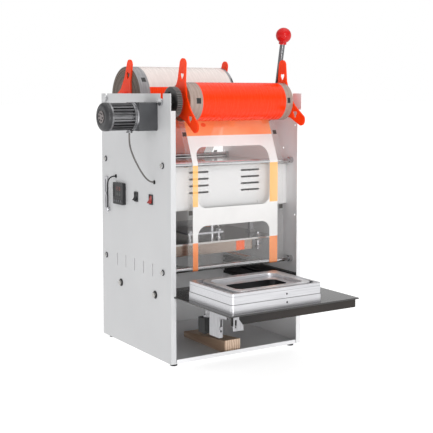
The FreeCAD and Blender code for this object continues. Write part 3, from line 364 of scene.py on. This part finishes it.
def wound(name, node, body_colour, other_colour, margin, face_light, face_dark, mark_arc,
          print_right, striped=False):
    """Wound printed film: coloured band, clear margins with registration marks, layered ends."""
    y0, z0, outer = roll_axis(node)
    g = Graph(name)
    x, radius, angle = polar(g, y0, z0)
    turned = g.math("MODULO", g.math("ADD", angle, 2 * math.pi), 2 * math.pi)
    arc = g.math("MULTIPLY", turned, outer)
    streak = g.noise(260.0, 4.0, (1, 0.12, 0.12), 0.6)
    printed = g.ramp(streak, [(0.3, other_colour), (0.7, body_colour)])
    if striped:
        low_stripe = g.between(arc, STRIPE_LOW, STRIPE_HIGH)
        printed = g.mix(low_stripe, printed, PRINT_ORANGE)
        salmon = g.between(arc, 0.1215, 0.1240)
        printed = g.mix(salmon, printed, (0.86, 0.30, 0.22))
    band = g.between(x, PRINT_LEFT, print_right, 0.0004)
    margin_tone = g.ramp(streak, [(0.25, tuple(0.72 * c for c in margin)), (0.75, margin)])
    surface = g.mix(band, margin_tone, printed)
    mark_turn = g.between(arc, mark_arc - 0.006, mark_arc + 0.006)
    mark_left = g.between(x, PRINT_LEFT - 0.0165, PRINT_LEFT - 0.0055)
    mark_right = g.between(x, print_right + 0.0035, print_right + 0.0115)
    marks = g.math("MULTIPLY", mark_turn, g.math("ADD", mark_left, mark_right, True))
    surface = g.mix(marks, surface, (0.03, 0.03, 0.03))
    layers = g.add("ShaderNodeTexNoise")
    layers.inputs["Scale"].default_value = 1.0
    layers.inputs["Detail"].default_value = 5.0
    combine = g.add("ShaderNodeCombineXYZ")
    g.link(g.math("MULTIPLY", radius, 900.0), combine.inputs["X"])
    g.link(g.math("MULTIPLY", angle, 0.4), combine.inputs["Y"])
    g.link(combine.outputs["Vector"], layers.inputs["Vector"])
    face = g.ramp(layers.outputs["Fac"], [(0.35, face_dark), (0.65, face_light)])
    inside = g.math("LESS_THAN", radius, outer - 0.0012)
    g.colour(g.mix(inside, surface, face))
    g.roughness(g.math("ADD", g.span(streak, 0.2, 0.34), g.math("MULTIPLY", inside, 0.2)))
    relief = g.math("ADD", g.math("MULTIPLY", streak, 0.15),
                    g.math("MULTIPLY", layers.outputs["Fac"], inside))
    g.bump(relief, 0.1, 0.0003)
    g.set(Specular_IOR_Level=0.25)
    return g.material


def gear_nylon():
    """Black nylon whose tooth crests are painted lighter than the gaps between them, a painted
    highlight on the teeth.
    """
    g = Graph("gear_nylon")
    y0, z0, outer = roll_axis("takeup_gear")
    _, radius, _ = polar(g, y0, z0)
    grain = g.noise(700.0, 2.0)
    # painted highlight: the outer rim of the teeth is coloured lighter
    crest_highlight = g.span(radius, 0.0, 1.0, outer - 0.0032, outer - 0.0004)
    base = g.ramp(grain, [(0.3, (0.010, 0.010, 0.010)), (0.7, (0.020, 0.019, 0.019))])
    g.colour(g.mix(crest_highlight, base, (0.16, 0.15, 0.145)))
    g.roughness(g.span(grain, 0.26, 0.36))
    g.bump(grain, 0.05, 0.0001)
    return g.material


GEAR_BLACK = gear_nylon()
TAKEUP_FILM = wound("wound_orange_film", "takeup_roll", (0.97, 0.040, 0.001),
                    (0.92, 0.032, 0.001), (0.38, 0.29, 0.25), (0.50, 0.14, 0.06),
                    (0.24, 0.07, 0.035), 0.1280, TAKEUP_PRINT_RIGHT)
SUPPLY_FILM = wound("wound_white_film", "supply_roll", (0.80, 0.72, 0.685), (0.76, 0.68, 0.645),
                    (0.34, 0.34, 0.35), (0.20, 0.15, 0.12), (0.07, 0.055, 0.045), 0.1870,
                    SUPPLY_PRINT_RIGHT, True)


# ---------------------------------------------------------------- mesh helpers
SHARP_ANGLE = math.radians(32)
BEVEL_ANGLE = math.radians(35)
FLAT_ANGLE = math.radians(0.6)
TOWARDS_LEFT = Vector((-1, 0, 0))


def finish_mesh(name, bm, material, body, smooth=True, weighted=False):
    bmesh.ops.recalc_face_normals(bm, faces=bm.faces)
    mesh = bpy.data.meshes.new(name)
    bm.to_mesh(mesh)
    bm.free()
    obj = bpy.data.objects.new(name, mesh)
    bpy.context.collection.objects.link(obj)
    mesh.materials.append(material)
    if smooth:
        mesh.polygons.foreach_set("use_smooth", [True] * len(mesh.polygons))
        mesh.set_sharp_from_angle(angle=SHARP_ANGLE)
    if weighted:
        obj.modifiers.new("normals", "WEIGHTED_NORMAL").keep_sharp = True
    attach(obj, body)
    return obj


def softened(node, material, width=0.0005, segments=2):
    """A copy of a CAD node with its sharp edges rounded, standing in for the node."""
    bm = bmesh.new()
    bm.from_mesh(NODES[node].data)
    bmesh.ops.remove_doubles(bm, verts=bm.verts, dist=1e-6)
    bmesh.ops.dissolve_limit(bm, angle_limit=FLAT_ANGLE, verts=bm.verts, edges=bm.edges)
    edges = [e for e in bm.edges
             if len(e.link_faces) == 2 and e.calc_face_angle(0) > BEVEL_ANGLE]
    bmesh.ops.bevel(bm, geom=edges, offset=width, offset_type="OFFSET", segments=segments,
                    profile=0.5, affect="EDGES", clamp_overlap=True)
    obj = finish_mesh(node + "_piece", bm, material, BODY_OF[node], weighted=True)
    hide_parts(node)


def paint(node, material):
    mesh = NODES[node].data
    mesh.materials.clear()
    mesh.materials.append(material)


def lathe(name, profile, axis_point, direction, material, body, steps=64):
    """A turned piece. The profile is (distance along the axis, radius)."""
    bm = bmesh.new()
    frame_z = direction.normalized()
    turn = frame_z.to_track_quat("Z", "Y").to_matrix()
    rings = []
    for along, radius in profile:
        ring = []
        for i in range(steps):
            a = 2 * math.pi * i / steps
            local = Vector((radius * math.cos(a), radius * math.sin(a), along))
            ring.append(bm.verts.new(axis_point + turn @ local))
        rings.append(ring)
    for lower, upper in zip(rings, rings[1:]):
        for i in range(steps):
            j = (i + 1) % steps
            bm.faces.new((lower[i], lower[j], upper[j], upper[i]))
    bm.faces.new(rings[0][::-1])
    bm.faces.new(rings[-1])
    return finish_mesh(name, bm, material, body)


def screw_head(name, point, direction, radius, height, material, body):
    """A domed screw head."""
    profile = [(0.0, radius), (height * 0.35, radius), (height * 0.75, radius * 0.82),
               (height, radius * 0.5)]
    return lathe(name, profile, point, direction, material, body, 24)


# ---------------------------------------------------------------- CAD nodes that keep their shape
for node in ("side_panel_left", "rear_panel"):
    softened(node, WHITE, 0.0004)
for node in ("side_panel_right", "floor_pan"):
    softened(node, LIT_INNER_WHITE, 0.0004)
for node in ("inner_box", "louvre_cover"):
    softened(node, LIT_BOX_WHITE, 0.0004)
softened("deck_plate", DECK, 0.0004)
softened("drawer_plate", ENAMEL, 0.0006)
softened("drawer_skirt", SKIRT, 0.0018, 3)
softened("mould_base", MOULD, 0.0007, 3)
softened("mould_rim", LIP, 0.0010, 3)
softened("floor_block", WOOD, 0.0010)
softened("motor_gearbox", GEARBOX_PAINT, 0.0012, 3)
softened("drawer_bracket", BRACKET_STEEL, 0.0004)
for node in ("takeup_star_left", "takeup_star_right", "supply_star_left", "supply_star_right"):
    softened(node, ORANGE, 0.0008)

for node in ("rod_upper_front", "rod_upper_rear", "rod_lower_front", "rod_lower_rear", "guide_rods",
             "takeup_shaft", "supply_shaft"):
    paint(node, POLISHED)
paint("lever_arm", CHROME)
for node in ("drawer_rail_left", "drawer_rail_right"):
    paint(node, BLACK_STEEL)
for node in ("head_springs", "lift_pinions", "lift_racks", "lever_shaft", "head_upper_plate"):
    paint(node, ZINC)
paint("head_plate", STAINLESS)


REFLECTION_START = 0.79
REFLECTION_END = 0.89


def heated_block():
    """Heat-tinted aluminium with a painted orange reflection on a strip of its front face."""
    g = Graph("heated_block")
    low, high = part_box("heating_block")
    span_x = high.x - low.x
    x, y, z = g.separate()
    lines = g.noise(420.0, 4.0, (0.04, 1, 1), 0.6)
    cloud = g.noise(9.0, 3.0)
    metal = g.ramp(lines, [(0.3, (0.24, 0.19, 0.16)), (0.7, (0.40, 0.33, 0.28))])
    metal = g.mix(g.span(cloud, 0.0, 0.5), metal, (0.30, 0.22, 0.18))
    # painted reflection: an orange strip on the front face, made non-metallic so its colour shows
    across = g.between(x, low.x + REFLECTION_START * span_x, low.x + REFLECTION_END * span_x, 0.001)
    painted_reflection = g.math("MULTIPLY", across, g.math("LESS_THAN", y, low.y + 0.002))
    g.colour(g.mix(painted_reflection, metal, (0.90, 0.12, 0.01)))
    g.link(g.span(painted_reflection, 1.0, 0.1), g.shader.inputs["Metallic"])
    g.roughness(g.span(lines, 0.18, 0.3))
    g.bump(lines, 0.08, 0.0002)
    return g.material


paint("heating_block", heated_block())
paint("head_bracket", ZINC)
paint("feet", RUBBER)
paint("cable_grommets", RUBBER)
paint("motor_body", MOTOR_PAINT)
paint("motor_ring", ZINC)
paint("motor_gear", BLACK_PLASTIC)
paint("takeup_gear", GEAR_BLACK)
paint("switch_bezels", BLACK_PLASTIC)
paint("controller_body", BLACK_PLASTIC)
paint("lever_knob", RED)
paint("rocker_black", BLACK_PLASTIC)
paint("rocker_red", RED_ROCKER)
paint("takeup_roll", TAKEUP_FILM)
paint("supply_roll", SUPPLY_FILM)
for node in ("key_set", "key_shift", "key_down", "key_up"):
    paint(node, GREY_KEY)


LATCH_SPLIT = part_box("drawer_latch")[1].z - 0.029


def latch_finish():
    """A black block below, a bright threaded post above it."""
    g = Graph("latch_finish")
    _, _, z = g.separate()
    post = g.math("GREATER_THAN", z, LATCH_SPLIT)
    grain = g.noise(500.0, 3.0, (1, 1, 0.3))
    block_tone = g.ramp(grain, [(0.3, (0.014, 0.014, 0.014)), (0.7, (0.025, 0.025, 0.025))])
    post_tone = g.ramp(grain, [(0.3, (0.34, 0.34, 0.35)), (0.7, (0.46, 0.46, 0.47))])
    g.colour(g.mix(post, block_tone, post_tone))
    g.link(post, g.shader.inputs["Metallic"])
    g.roughness(g.span(grain, 0.28, 0.42))
    g.bump(grain, 0.08, 0.0002)
    g.set(Specular_IOR_Level=0.15)
    return g.material


paint("sensor_bracket", ZINC)
paint("drawer_latch", latch_finish())

# ---------------------------------------------------------------- motor cap
cap_low, cap_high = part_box("motor_end_cap")
cap_centre = Vector((cap_high.x, (cap_low.y + cap_high.y) / 2, (cap_low.z + cap_high.z) / 2))
cap_depth = cap_high.x - cap_low.x
cap_r = (cap_high.z - cap_low.z) / 2
CAP_SHOULDER = 0.0095
CAP_RECESS = 0.0042
CAP_BOLT_CIRCLE = 0.0082
cap_profile = [(0.0, cap_r)]
for i in range(9):
    a = math.radians(90 * i / 8)
    cap_profile.append((cap_depth - 0.0105 + 0.0075 * math.sin(a),
                        cap_r - CAP_SHOULDER + CAP_SHOULDER * math.cos(a)))
cap_profile += [(cap_depth - 0.003, 0.0175), (cap_depth - CAP_RECESS, 0.0165),
                (cap_depth - CAP_RECESS, 0.001)]
cap = lathe("motor_cap", cap_profile, cap_centre, TOWARDS_LEFT, CAP_PAINT, "cabinet")
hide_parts("motor_end_cap")
plate_x = cap_low.x + CAP_RECESS
lathe("motor_cap_plate", [(0.0, 0.0128), (0.0012, 0.0128), (0.0018, 0.0121), (0.0018, 0.001)],
      Vector((plate_x, cap_centre.y, cap_centre.z)), TOWARDS_LEFT, CAP_DISC, "cabinet")
for i in range(6):
    a = math.radians(60 * i + 12)
    place = Vector((plate_x - 0.0016, cap_centre.y + CAP_BOLT_CIRCLE * math.cos(a),
                    cap_centre.z + CAP_BOLT_CIRCLE * math.sin(a)))
    screw_head("motor_cap_bolt_%d" % i, place, TOWARDS_LEFT, 0.0019, 0.0014, BLACK_PLASTIC,
               "cabinet")

# ---------------------------------------------------------------- fasteners on the left panel
PANEL_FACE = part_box("side_panel_left")[0].x


def ringed_bolt(name, y, z, washer_r, head_r, height):
    """A dark washer under a bright hexagon head, on the outside of the left panel."""
    washer = [(0.0, washer_r), (0.0009, washer_r), (0.0013, washer_r - 0.0004)]
    head = [(0.0, head_r), (height - 0.0007, head_r), (height, head_r - 0.0009)]
    place = Vector((PANEL_FACE, y, z))
    lathe(name + "_washer", washer, place, TOWARDS_LEFT, MARK_DARK, "cabinet", 32)
    lathe(name + "_head", head, place, TOWARDS_LEFT, BOLT_STEEL, "cabinet", 6)


RAIL_BOLTS_Y = (-0.0935, 0.0675)
rail_low, rail_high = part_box("drawer_rail_left")
rail_z = (rail_low.z + rail_high.z) / 2
for i, y in enumerate(RAIL_BOLTS_Y):
    ringed_bolt("rail_bolt_%d" % i, y, rail_z, 0.0086, 0.0062, 0.0052)
for node in ("rod_upper_front", "rod_upper_rear", "rod_lower_front", "rod_lower_rear"):
    end_low, end_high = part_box(node)
    ringed_bolt(node + "_end", (end_low.y + end_high.y) / 2, (end_low.z + end_high.z) / 2,
                0.0066, 0.0050, 0.0046)

# ---------------------------------------------------------------- controller display
ctrl_low, ctrl_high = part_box("controller_body")
ctrl_y = (ctrl_low.y + ctrl_high.y) / 2
ctrl_z = (ctrl_low.z + ctrl_high.z) / 2
face_x = ctrl_low.x


def block(bm, x0, x1, y0, y1, z0, z1):
    verts = [bm.verts.new((x, y, z)) for x in (x0, x1) for y in (y0, y1) for z in (z0, z1)]
    for a, b, c, d in ((0, 1, 3, 2), (4, 6, 7, 5), (0, 4, 5, 1), (2, 3, 7, 6), (0, 2, 6, 4),
                       (1, 5, 7, 3)):
        bm.faces.new((verts[a], verts[b], verts[c], verts[d]))


def digit(bm, x, y, z, height, value):
    """A seven-segment digit on a face that looks along -X."""
    segments = {0: "abcdef", 1: "bc", 2: "abged", 4: "fgbc", 5: "afgcd", 8: "abcdefg"}[value]
    w = height * 0.5
    t = height * 0.11
    shapes = {"a": (-w / 2, w / 2, height / 2 - t, height / 2), "g": (-w / 2, w / 2, -t / 2, t / 2),
              "d": (-w / 2, w / 2, -height / 2, -height / 2 + t),
              "f": (-w / 2, -w / 2 + t, 0, height / 2), "b": (w / 2 - t, w / 2, 0, height / 2),
              "e": (-w / 2, -w / 2 + t, -height / 2, 0), "c": (w / 2 - t, w / 2, -height / 2, 0)}
    for key in segments:
        across0, across1, low, high = shapes[key]
        block(bm, x - 0.0002, x, y - across1, y - across0, z + low, z + high)


def lit(name, colour, strength):
    g = Graph(name)
    glow = g.noise(300.0, 2.0)
    tone = g.ramp(glow, [(0.3, tuple(0.8 * c for c in colour)), (0.7, colour)])
    g.colour(tone)
    g.link(tone, g.shader.inputs["Emission Color"])
    g.set(Emission_Strength=strength, Roughness=0.4)
    return g.material


RED_LED = lit("red_led", (0.30, 0.10, 0.09), 0.06)
GREEN_LED = lit("green_led", (0.20, 0.22, 0.21), 0.05)
READINGS = (("upper_digits", ctrl_z + 0.0115, 0.0085, (1, 5, 0), RED_LED),
            ("lower_digits", ctrl_z - 0.0005, 0.0065, (1, 8, 0), GREEN_LED))
DIGIT_PITCH = 0.009
for label, z, height, values, material in READINGS:
    bm = bmesh.new()
    for i, value in enumerate(values):
        digit(bm, face_x + 0.0007, ctrl_y + DIGIT_PITCH * (1 - i), z, height, value)
    finish_mesh("controller_" + label, bm, material, "cabinet", False)

# ---------------------------------------------------------------- film web
rod_low, rod_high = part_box("rod_lower_front")
LOWER_Z = (rod_low.z + rod_high.z) / 2
ROD_Y = (rod_low.y + rod_high.y) / 2
rear_low, rear_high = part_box("rod_lower_rear")
REAR_ROD_Y = (rear_low.y + rear_high.y) / 2
upper_low, upper_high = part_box("rod_upper_front")
UPPER_Z = (upper_low.z + upper_high.z) / 2
web_low, web_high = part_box("film_web")
WRAP = 0.00545
ROLL_GAP = 0.0004
take_y, take_z, take_r = roll_axis("takeup_roll")
supply_y, supply_z, supply_r = roll_axis("supply_roll")


def tangent_run(rod_y, rod_r, roll_y, roll_z, roll_r, side):
    """Where film crossing between an upper rod and a roll touches each of them."""
    span = math.hypot(roll_y - rod_y, roll_z - UPPER_Z)
    lean = math.asin((rod_r + roll_r) / span) + side * math.atan2(roll_y - rod_y, roll_z - UPPER_Z)
    ny = side * math.cos(lean)
    nz = -math.sin(lean)
    rod_point = (rod_y - rod_r * ny, UPPER_Z - rod_r * nz)
    roll_point = (roll_y + roll_r * ny, roll_z + roll_r * nz)
    return rod_point, roll_point, lean


def straight(start, end, steps):
    return [(start[0] + (end[0] - start[0]) * i / steps, start[1] + (end[1] - start[1]) * i / steps)
            for i in range(steps)]


def around(y, z, start, end, steps):
    return [(y + WRAP * math.cos(start + (end - start) * i / steps),
             z + WRAP * math.sin(start + (end - start) * i / steps)) for i in range(steps)]


def web_path():
    """Points (y, z) of the film from the supply roll to the take-up roll, and where runs start."""
    rear_rod, rear_roll, rear_lean = tangent_run(
        REAR_ROD_Y, WRAP, supply_y, supply_z, supply_r + ROLL_GAP, -1)
    front_rod, front_roll, front_lean = tangent_run(
        ROD_Y, WRAP, take_y, take_z, take_r + ROLL_GAP, 1)
    quarter = math.radians(90)
    points = straight(rear_roll, rear_rod, 24)
    points += around(REAR_ROD_Y, UPPER_Z, rear_lean, 0.0, 6)
    points += straight((REAR_ROD_Y + WRAP, UPPER_Z), (REAR_ROD_Y + WRAP, LOWER_Z), 30)
    points += around(REAR_ROD_Y, LOWER_Z, 0.0, -quarter, 8)
    flat_start = len(points)
    points += straight((REAR_ROD_Y, LOWER_Z - WRAP), (ROD_Y, LOWER_Z - WRAP), 60)
    points += around(ROD_Y, LOWER_Z, -quarter, -2 * quarter, 8)
    upright_start = len(points)
    points += straight((ROD_Y - WRAP, LOWER_Z), (ROD_Y - WRAP, UPPER_Z), 30)
    points += around(ROD_Y, UPPER_Z, 2 * quarter, 2 * quarter - front_lean, 6)
    points += straight(front_rod, front_roll, 14) + [front_roll]
    return points, flat_start, upright_start


path, flat_start, front_start = web_path()
lengths = [0.0]
for (ya, za), (yb, zb) in zip(path, path[1:]):
    lengths.append(lengths[-1] + math.hypot(yb - ya, zb - za))
# the print's length coordinate equals height on the front run
offset = LOWER_Z - lengths[front_start]
COLUMNS = 26
bm = bmesh.new()
uv = bm.loops.layers.uv.new("film")
grid = []
for k, (y, z) in enumerate(path):
    row = []
    for i in range(COLUMNS + 1):
        t = i / COLUMNS
        x = web_low.x + (web_high.x - web_low.x) * t
        flat_run = flat_start < k < front_start - 8
        ripple = 0.0006 * math.sin(t * 21 + k * 0.55) * math.sin(k * 0.9) if flat_run else 0.0
        row.append((bm.verts.new((x, y, z + min(0.0002, ripple))), x, lengths[k] + offset))
    grid.append(row)
for lower, upper in zip(grid, grid[1:]):
    for i in range(COLUMNS):
        corners = (lower[i], lower[i + 1], upper[i + 1], upper[i])
        face = bm.faces.new([c[0] for c in corners])
        for loop, corner in zip(face.loops, corners):
            loop[uv].uv = (corner[1], corner[2])


FEED_END = LOWER_Z - lengths[front_start] + lengths[24]


PRINT_PERIOD = 0.161
PRINT_START = 0.1687
PRINT_EDGES = (-0.0992, 0.1252)
WINDOW_CENTRE = 0.0085
WINDOW_TOP = 0.475
BAND_START = 0.4900
WARM_START = 0.30
WARM_END = 0.47
CLEAR_FILM_ALPHA = 0.11


def film_material():
    g = Graph("printed_film")
    node = g.add("ShaderNodeUVMap", uv_map="film")
    u, v, _ = g.separate(node.outputs["UV"])
    drawn_out = g.span(v, 0.0, 0.012, 0.385, 0.455)
    start = g.math("SUBTRACT", g.math("SUBTRACT", v, drawn_out), PRINT_START)
    repeat = g.math("MODULO", g.math("ADD", start, 10 * PRINT_PERIOD), PRINT_PERIOD)
    # window: a rounded rectangle in each repeat
    half_w, half_h, r = 0.0945, 0.0613, 0.022
    px = g.math("ABSOLUTE", g.math("SUBTRACT", u, WINDOW_CENTRE))
    py = g.math("ABSOLUTE", g.math("SUBTRACT", repeat, half_h))
    qx = g.math("MAXIMUM", g.math("SUBTRACT", px, half_w - r), 0.0)
    qy = g.math("MAXIMUM", g.math("SUBTRACT", py, half_h - r), 0.0)
    dist = g.math("SQRT", g.math("ADD", g.math("MULTIPLY", qx, qx), g.math("MULTIPLY", qy, qy)))
    window = g.span(dist, 1.0, 0.0, r - 0.0003, r + 0.0003)
    window = g.math("MULTIPLY", window, g.math("LESS_THAN", v, WINDOW_TOP))
    inside = g.between(u, *PRINT_EDGES)
    printed = g.math("MULTIPLY", inside, g.math("SUBTRACT", 1.0, window))
    printed = g.math("MULTIPLY", printed, g.math("GREATER_THAN", v, -0.2))
    side = g.math("ADD", g.between(u, PRINT_EDGES[0], -0.0860),
                  g.between(u, 0.1030, PRINT_EDGES[1]), True)
    strip = g.math("MULTIPLY", side, g.between(repeat, 0.004, 0.0865))
    strip = g.math("MULTIPLY", strip, g.math("LESS_THAN", v, 0.43))
    band = g.math("MULTIPLY", inside, g.math("GREATER_THAN", v, BAND_START))
    orange = g.math("ADD", strip, band, True)
    haze = g.noise(20.0, 3.0)
    low_tint = g.ramp(haze, [(0.3, (0.95, 0.28, 0.10)), (0.7, (1.0, 0.36, 0.14))])
    warm = g.math("MULTIPLY", g.math("GREATER_THAN", v, WARM_START),
                  g.math("LESS_THAN", v, WARM_END))
    tint = g.mix(warm, low_tint, (1.0, 0.52, 0.16))
    pale = g.ramp(haze, [(0.3, (0.76, 0.75, 0.74)), (0.7, (0.81, 0.80, 0.79))])
    tone = g.mix(orange, pale, tint)
    marks_u = g.math("ADD", g.between(u, -0.1095, -0.0995), g.between(u, 0.1295, 0.1395), True)
    marks = g.math("MULTIPLY", marks_u, g.between(repeat, 0.1475, 0.1575))
    tone = g.mix(marks, tone, (0.04, 0.035, 0.03))
    spot_x = g.math("DIVIDE", g.math("SUBTRACT", u, -0.052), 0.0062)
    spot_y = g.math("DIVIDE", g.math("SUBTRACT", v, 0.5150), 0.0050)
    spot = g.math("ADD", g.math("MULTIPLY", spot_x, spot_x), g.math("MULTIPLY", spot_y, spot_y))
    tone = g.mix(g.math("LESS_THAN", spot, 1.0), tone, (0.95, 0.12, 0.04))
    feed = g.math("LESS_THAN", v, FEED_END)
    feed_orange = g.math("MULTIPLY", feed, g.between(u, -0.1115, 0.1020))
    feed_brown = g.math("MULTIPLY", feed, g.between(u, 0.1020, 0.1250))
    tone = g.mix(feed_orange, tone, (0.95, 0.10, 0.01))
    tone = g.mix(feed_brown, tone, (0.34, 0.25, 0.21))
    g.colour(tone)
    printed = g.math("MAXIMUM", printed, g.math("MULTIPLY", feed_orange, 0.95))
    printed = g.math("MAXIMUM", printed, g.math("MULTIPLY", feed_brown, 0.6))
    solid = g.math("MAXIMUM", printed, marks)
    cover = g.math("SUBTRACT", 0.93, g.math("MULTIPLY", orange, 0.10))
    clear = g.math("MULTIPLY", g.math("SUBTRACT", 1.0, solid), CLEAR_FILM_ALPHA)
    alpha = g.math("ADD", g.math("MULTIPLY", solid, cover), clear)
    g.link(alpha, g.shader.inputs["Alpha"])
    g.roughness(g.span(haze, 0.08, 0.16))
    wave = g.noise(38.0, 2.0, (0.4, 1, 1))
    g.bump(wave, 0.25, 0.002)
    return g.material


web = finish_mesh("film_web_sheet", bm, film_material(), "cabinet")
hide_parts("film_web")

# ---------------------------------------------------------------- cables
def cord_piece(name, points, diameter, material, node):
    curve = bpy.data.curves.new(name, "CURVE")
    curve.dimensions = "3D"
    curve.bevel_depth = diameter / 2
    curve.bevel_resolution = 5
    curve.resolution_u = 16
    spline = curve.splines.new("NURBS")
    spline.points.add(len(points) - 1)
    for place, point in zip(spline.points, points):
        place.co = (*point, 1.0)
    spline.order_u = 3
    spline.use_endpoint_u = True
    curve.use_fill_caps = True
    obj = bpy.data.objects.new(name, curve)
    bpy.context.collection.objects.link(obj)
    curve.materials.append(material)
    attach(obj, "cabinet")
    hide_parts(node)


motor_route = [(-0.2220, -0.07806, 0.49438), (-0.2215, -0.0765, 0.4830), (-0.2180, -0.0715, 0.4680),
               (-0.2125, -0.0690, 0.4535), (-0.2060, -0.0695, 0.4380), (-0.1995, -0.0725, 0.4235),
               (-0.1940, -0.0780, 0.4100), (-0.1890, -0.0845, 0.3995), (-0.1830, -0.0895, 0.3918),
               (-0.1755, -0.0920, 0.3883), (-0.1670, -0.0920, 0.3880)]
cord_piece("motor_lead", motor_route, 0.0036, CABLE_GREY, "motor_cable")
sensor_route = [(-0.1670, 0.0900, 0.3880), (-0.1755, 0.0905, 0.3880), (-0.1815, 0.0945, 0.3858),
                (-0.1840, 0.1015, 0.3795), (-0.1825, 0.1095, 0.3700), (-0.1795, 0.1160, 0.3575),
                (-0.1770, 0.1205, 0.3430), (-0.1758, 0.1230, 0.3275), (-0.1755, 0.1240, 0.3120)]
cord_piece("sensor_lead", sensor_route, 0.0032, BLACK_PLASTIC, "sensor_cable")

# ---------------------------------------------------------------- stage and light
bm = bmesh.new()
FLOOR_SPAN = 80.0
FLOOR_ROWS = 24
FLOOR_COLUMNS = 8
rows = []
for i in range(FLOOR_ROWS + 1):
    y = FLOOR_SPAN * (i / FLOOR_ROWS - 0.5)
    rows.append([bm.verts.new((FLOOR_SPAN * (j / FLOOR_COLUMNS - 0.5), y, 0.0))
                 for j in range(FLOOR_COLUMNS + 1)])
for lower, upper in zip(rows, rows[1:]):
    for j in range(FLOOR_COLUMNS):
        bm.faces.new((lower[j], lower[j + 1], upper[j + 1], upper[j]))
floor_mesh = bpy.data.meshes.new("floor")
bm.to_mesh(floor_mesh)
bm.free()
floor = bpy.data.objects.new("floor", floor_mesh)
bpy.context.collection.objects.link(floor)
g = Graph("floor_white")
g.colour(g.ramp(g.noise(2.0, 3.0), [(0.3, (0.40, 0.40, 0.40)), (0.7, (0.43, 0.43, 0.43))]))
g.set(Roughness=0.8, Specular_IOR_Level=0.1, Emission_Color=(1.0, 1.0, 1.0, 1.0),
      Emission_Strength=0.78)
floor_mesh.materials.append(g.material)


def studio_world():
    """Plain white to look at; surfaces are lit by it with a darker band, for contrast in metal."""
    studio = bpy.data.worlds.new("studio")
    studio.use_nodes = True
    nodes = studio.node_tree.nodes
    links = studio.node_tree.links
    background = nodes["Background"]
    direction = nodes.new("ShaderNodeTexCoord")
    split = nodes.new("ShaderNodeSeparateXYZ")
    links.new(direction.outputs["Generated"], split.inputs["Vector"])
    height = nodes.new("ShaderNodeMapRange")
    height.inputs["From Min"].default_value = -1.0
    links.new(split.outputs["Z"], height.inputs["Value"])
    bands = nodes.new("ShaderNodeValToRGB")
    stops = [(0.0, 0.85), (0.5, 0.95), (0.57, 0.95), (0.64, 0.35), (0.74, 0.4), (0.82, 1.0),
             (1.0, 1.0)]
    while len(bands.color_ramp.elements) < len(stops):
        bands.color_ramp.elements.new(0.5)
    for element, (place, level) in zip(bands.color_ramp.elements, stops):
        element.position = place
        element.color = (level, level, level, 1.0)
    links.new(height.outputs["Result"], bands.inputs["Fac"])
    ray = nodes.new("ShaderNodeLightPath")
    mix = nodes.new("ShaderNodeMix")
    mix.data_type = "RGBA"
    colours = [s for s in mix.inputs if s.type == "RGBA"]
    links.new(ray.outputs["Is Camera Ray"], mix.inputs[0])
    links.new(bands.outputs["Color"], colours[0])
    colours[1].default_value = (1.0, 1.0, 1.0, 1.0)
    links.new([s for s in mix.outputs if s.type == "RGBA"][0], background.inputs["Color"])
    background.inputs["Strength"].default_value = 1.0
    return studio


bpy.context.scene.world = studio_world()


def area_light(name, place, target, size, power):
    data = bpy.data.lights.new(name, "AREA")
    data.size = size
    data.energy = power
    obj = bpy.data.objects.new(name, data)
    bpy.context.collection.objects.link(obj)
    obj.location = place
    aim = Vector(target) - Vector(place)
    obj.rotation_euler = aim.to_track_quat("-Z", "Y").to_euler()


area_light("key", (-0.7, -2.8, 1.7), (0, 0, 0.3), 1.2, 20)
area_light("top", (0.3, -0.5, 2.6), (0, 0, 0.3), 1.4, 8)
area_light("low", (-0.35, -2.2, 0.16), (0.12, 0, 0.08), 0.5, 12)
bpy.context.scene.view_settings.view_transform = "Standard"
